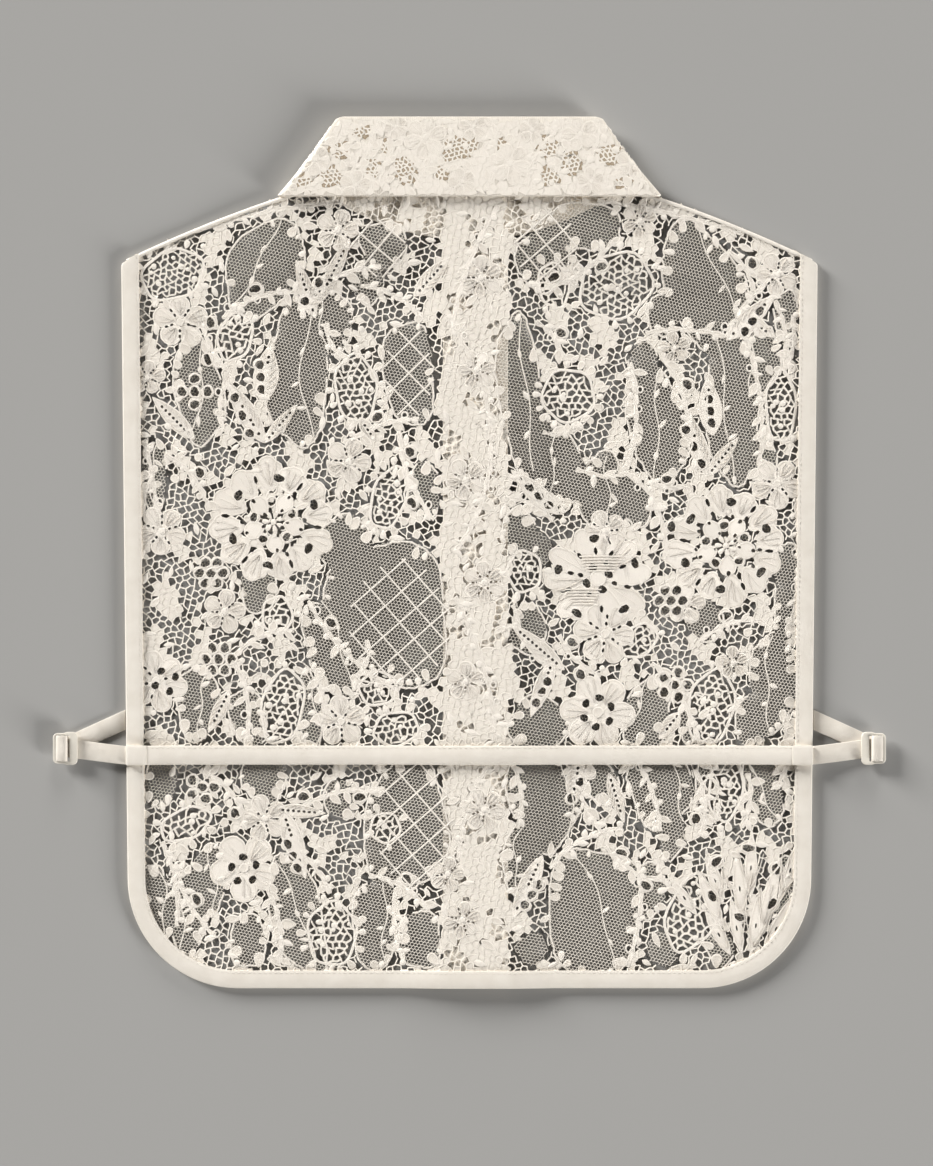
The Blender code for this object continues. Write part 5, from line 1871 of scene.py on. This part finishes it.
inner_edge = half_edge(BINDING - ROW_FROM_EDGE, 2.0)
inner_row = np.concatenate([mirrored(inner_edge)[::-1], inner_edge[::-1][1:]])
edge_stitches = stitched("binding_stitches", [stitch_row(inner_row, binding_top)])
waist_rows = []
for y in (WAIST_Y - ROW_FROM_MIDDLE, WAIST_Y + ROW_FROM_MIDDLE):
    path = np.array([[waist_low[0] + 1, y], [waist_high[0] - 1, y]])
    waist_rows.append(stitch_row(path, waist_top))
waist_stitches = stitched("waist_stitches", waist_rows)

# %% [markdown]
# ## The waist tape's ends
#
# Each end of the tape is turned in and sewn down on the binding, which makes a small,
# slightly swollen square. Sculpting would give the swelling, but not the same one twice.
# A cube is stretched and cut instead, its top is raised by a formula, and its edges are
# rounded.

# %% The waist tape's ends
END_LONG, END_WIDE, END_THICK = 11.0, 10.6, 0.5
END_IN = 5.7  # an end's middle from the tape's own end


def tape_end(side):
    bpy.ops.object.select_all(action="DESELECT")
    x = side * (waist_high[0] - END_IN)
    z = float(waist_top(np.array([x]), np.array([WAIST_Y]))[0]) + 0.05
    bpy.ops.mesh.primitive_cube_add(size=1.0, location=(0, 0, 0))
    piece = bpy.context.active_object
    piece.name = "tape_end_" + ("right" if side > 0 else "left")
    bpy.ops.object.mode_set(mode="EDIT")
    bpy.ops.transform.resize(value=(END_LONG * MM, END_WIDE * MM, END_THICK * MM))
    bpy.ops.transform.translate(value=(x * MM, WAIST_Y * MM, z * MM))
    bpy.ops.mesh.subdivide(number_cuts=6)
    bpy.ops.object.mode_set(mode="OBJECT")
    for vert in piece.data.vertices:
        along = (vert.co.x / MM - x) / (END_LONG / 2)
        across = (vert.co.y / MM - WAIST_Y) / (END_WIDE / 2)
        swell = (1 - along ** 2) * (1 - across ** 2)
        if vert.co.z / MM > z:
            vert.co.z += (0.30 * swell + 0.05 * math.sin(along * 7) * swell) * MM
    edges_rounded(piece, 0.2, 50)
    bpy.ops.object.shade_smooth_by_angle(angle=math.radians(45))
    piece.data.materials.append(TAPE)
    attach(piece, "root")
    return piece


tape_ends = [tape_end(-1), tape_end(1)]
print("tape ends:", len(tape_ends))

# %% [markdown]
# ## Elastics
#
# An elastic is a satin tape that stretches. Where it goes over a slider's middle bar it
# fans out to the slider's full width. That loop is a sheet with a Solidify wall, because
# its profile is simple and a wall keeps its thickness round the bend.

# %% Elastics
elastics = [rounded_copy("elastic_" + side, "elastic_strap_" + side, 0.25, SATIN)
            for side in ("left", "right")]

# %% The elastics' loops
SLIDER_Y = -106.6  # the sliders' middle
LOOP_HALF = 7.05  # half the loop's width
LOOP_DROP = 0.15  # its two edges lie this much lower
LOOP_WALL = 0.5
LOOP = ((-225.5, 4.3), (-225.0, 4.75), (-224.0, 5.5), (-222.5, 5.95), (-220.9, 5.95), (-219.8, 5.4),
        (-219.25, 4.4), (-219.1, 3.2))  # x and z over the slider's middle bar


def elastic_loop(side):
    """The elastic's fold, which fills the slider from top to bottom."""
    points = []
    for y in np.linspace(-LOOP_HALF, LOOP_HALF, 9) + SLIDER_Y:
        drop = LOOP_DROP * (abs(y - SLIDER_Y) / LOOP_HALF) ** 4
        points += [(-side * x, y, z - drop) for x, z in LOOP]
    count = len(LOOP)
    faces = [(start + k, start + k + 1, start + count + k + 1, start + count + k)
             for start in range(0, len(points) - count, count) for k in range(count - 1)]
    name = "elastic_loop_" + ("right" if side > 0 else "left")
    piece = piece_of(name, np.array(points), faces, SATIN)
    only(piece)
    wall = piece.modifiers.new("wall", "SOLIDIFY")
    wall.thickness = LOOP_WALL * MM
    wall.offset = side
    bpy.ops.object.modifier_apply(modifier=wall.name)
    edges_rounded(piece, 0.15, 60)
    tidy_shell(piece)
    return piece


loops = [elastic_loop(-1), elastic_loop(1)]
print("loops:", len(loops))

# %% [markdown]
# ## Sliders and buttons
#
# Both are moulded plastic, the buttons with a pearly gloss. They keep the solids' shapes,
# with small round-overs that catch the light, as a mould's edges are never sharp.

# %% Moulded plastic
def moulded_material(name, colour, roughness, coat):
    """Moulded plastic: a faint swirl in its colour and a faint wave in its gloss."""
    material, tree, shader = new_material(name, {"Coat Weight": coat, "Coat Roughness": 0.12})
    place = tree.nodes.new("ShaderNodeTexCoord")
    swirl = noise_node(tree, place.outputs["Object"], scale=260, detail=3, distortion=0.6)
    darker = [value * 0.93 for value in colour]
    gloss = math_node(tree, "ADD", math_node(tree, "MULTIPLY", swirl, 0.08), roughness)
    feed(tree, shader.inputs["Base Color"], ramp_node(tree, swirl, darker, colour, 0.3, 0.7))
    feed(tree, shader.inputs["Roughness"], gloss)
    feed(tree, shader.inputs["Normal"], relief_node(tree, swirl, 0.08, 0.1))
    return material


SLIDER_PLASTIC = moulded_material("cream plastic", (0.82, 0.775, 0.69), 0.3, 0.3)
PEARL = moulded_material("pearl plastic", (0.86, 0.83, 0.77), 0.22, 0.6)
for side in ("left", "right"):
    rounded_copy("slider_" + side, "slider_ring_" + side, 0.35, SLIDER_PLASTIC, 3)
for number in range(1, 6):
    rounded_copy(f"button_{number}", f"shirt_button_{number}", 0.2, PEARL)

# %% [markdown]
# ## Camera, floor and light
#
# The camera looks straight down from 1.77 m. The floor is plain and pale. Soft light from
# above would fill the openings, so the light comes low from wide sources, and the
# openings read darker than the lace.

# %% Camera
CAMERA_HIGH = 1.77
AIM = (-1.6 * MM, -16.4 * MM)  # the middle of the picture
camera_data = bpy.data.cameras.new("camera")
camera_data.lens = 100
camera_data.sensor_fit = "VERTICAL"
camera_data.sensor_height = 36
camera_data.sensor_width = 36
camera = bpy.data.objects.new("camera", camera_data)
camera.location = (*AIM, CAMERA_HIGH)
bpy.context.collection.objects.link(camera)
bpy.context.scene.camera = camera
print("camera at", tuple(round(value, 4) for value in camera.location))

# %% Floor
FLOOR_SIZE = 30.0  # so wide that its edge never shows
FLOOR_Z = -0.0003
bpy.ops.object.select_all(action="DESELECT")
bpy.ops.mesh.primitive_plane_add(size=FLOOR_SIZE, location=(0, 0, FLOOR_Z))
floor = bpy.context.active_object
floor.name = "studio_floor"
matt = {"Base Color": (0.39, 0.387, 0.38, 1), "Roughness": 0.9, "Specular IOR Level": 0.1}
floor.data.materials.append(new_material("pale floor", matt)[0])
print("floor:", FLOOR_SIZE, "m wide")

# %% Light
SOFTNESS = math.radians(20)  # how wide each light looks from the garment


def soft_light(name, direction, strength):
    """A wide, far light that shines from a direction and lights all of the floor alike."""
    data = bpy.data.lights.new(name, "SUN")
    data.angle = SOFTNESS
    data.energy = strength
    data.color = (1.0, 0.985, 0.96)
    light = bpy.data.objects.new(name, data)
    light.location = direction
    light.rotation_euler = Vector(direction).to_track_quat("Z", "Y").to_euler()
    bpy.context.collection.objects.link(light)


soft_light("key", (-5.94, 4.41, 1.90), 5.9)
soft_light("fill", (5.58, -3.78, 1.73), 4.1)
soft_light("back", (0.99, 6.84, 1.61), 1.65)
world = bpy.data.worlds.new("studio")
world.use_nodes = True
sky = world.node_tree.nodes["Background"].inputs
sky["Color"].default_value = (1.0, 0.98, 0.95, 1)
sky["Strength"].default_value = 0.08
bpy.context.scene.world = world
bpy.context.scene.view_settings.view_transform = "Standard"
print("lights:", len(bpy.data.lights))
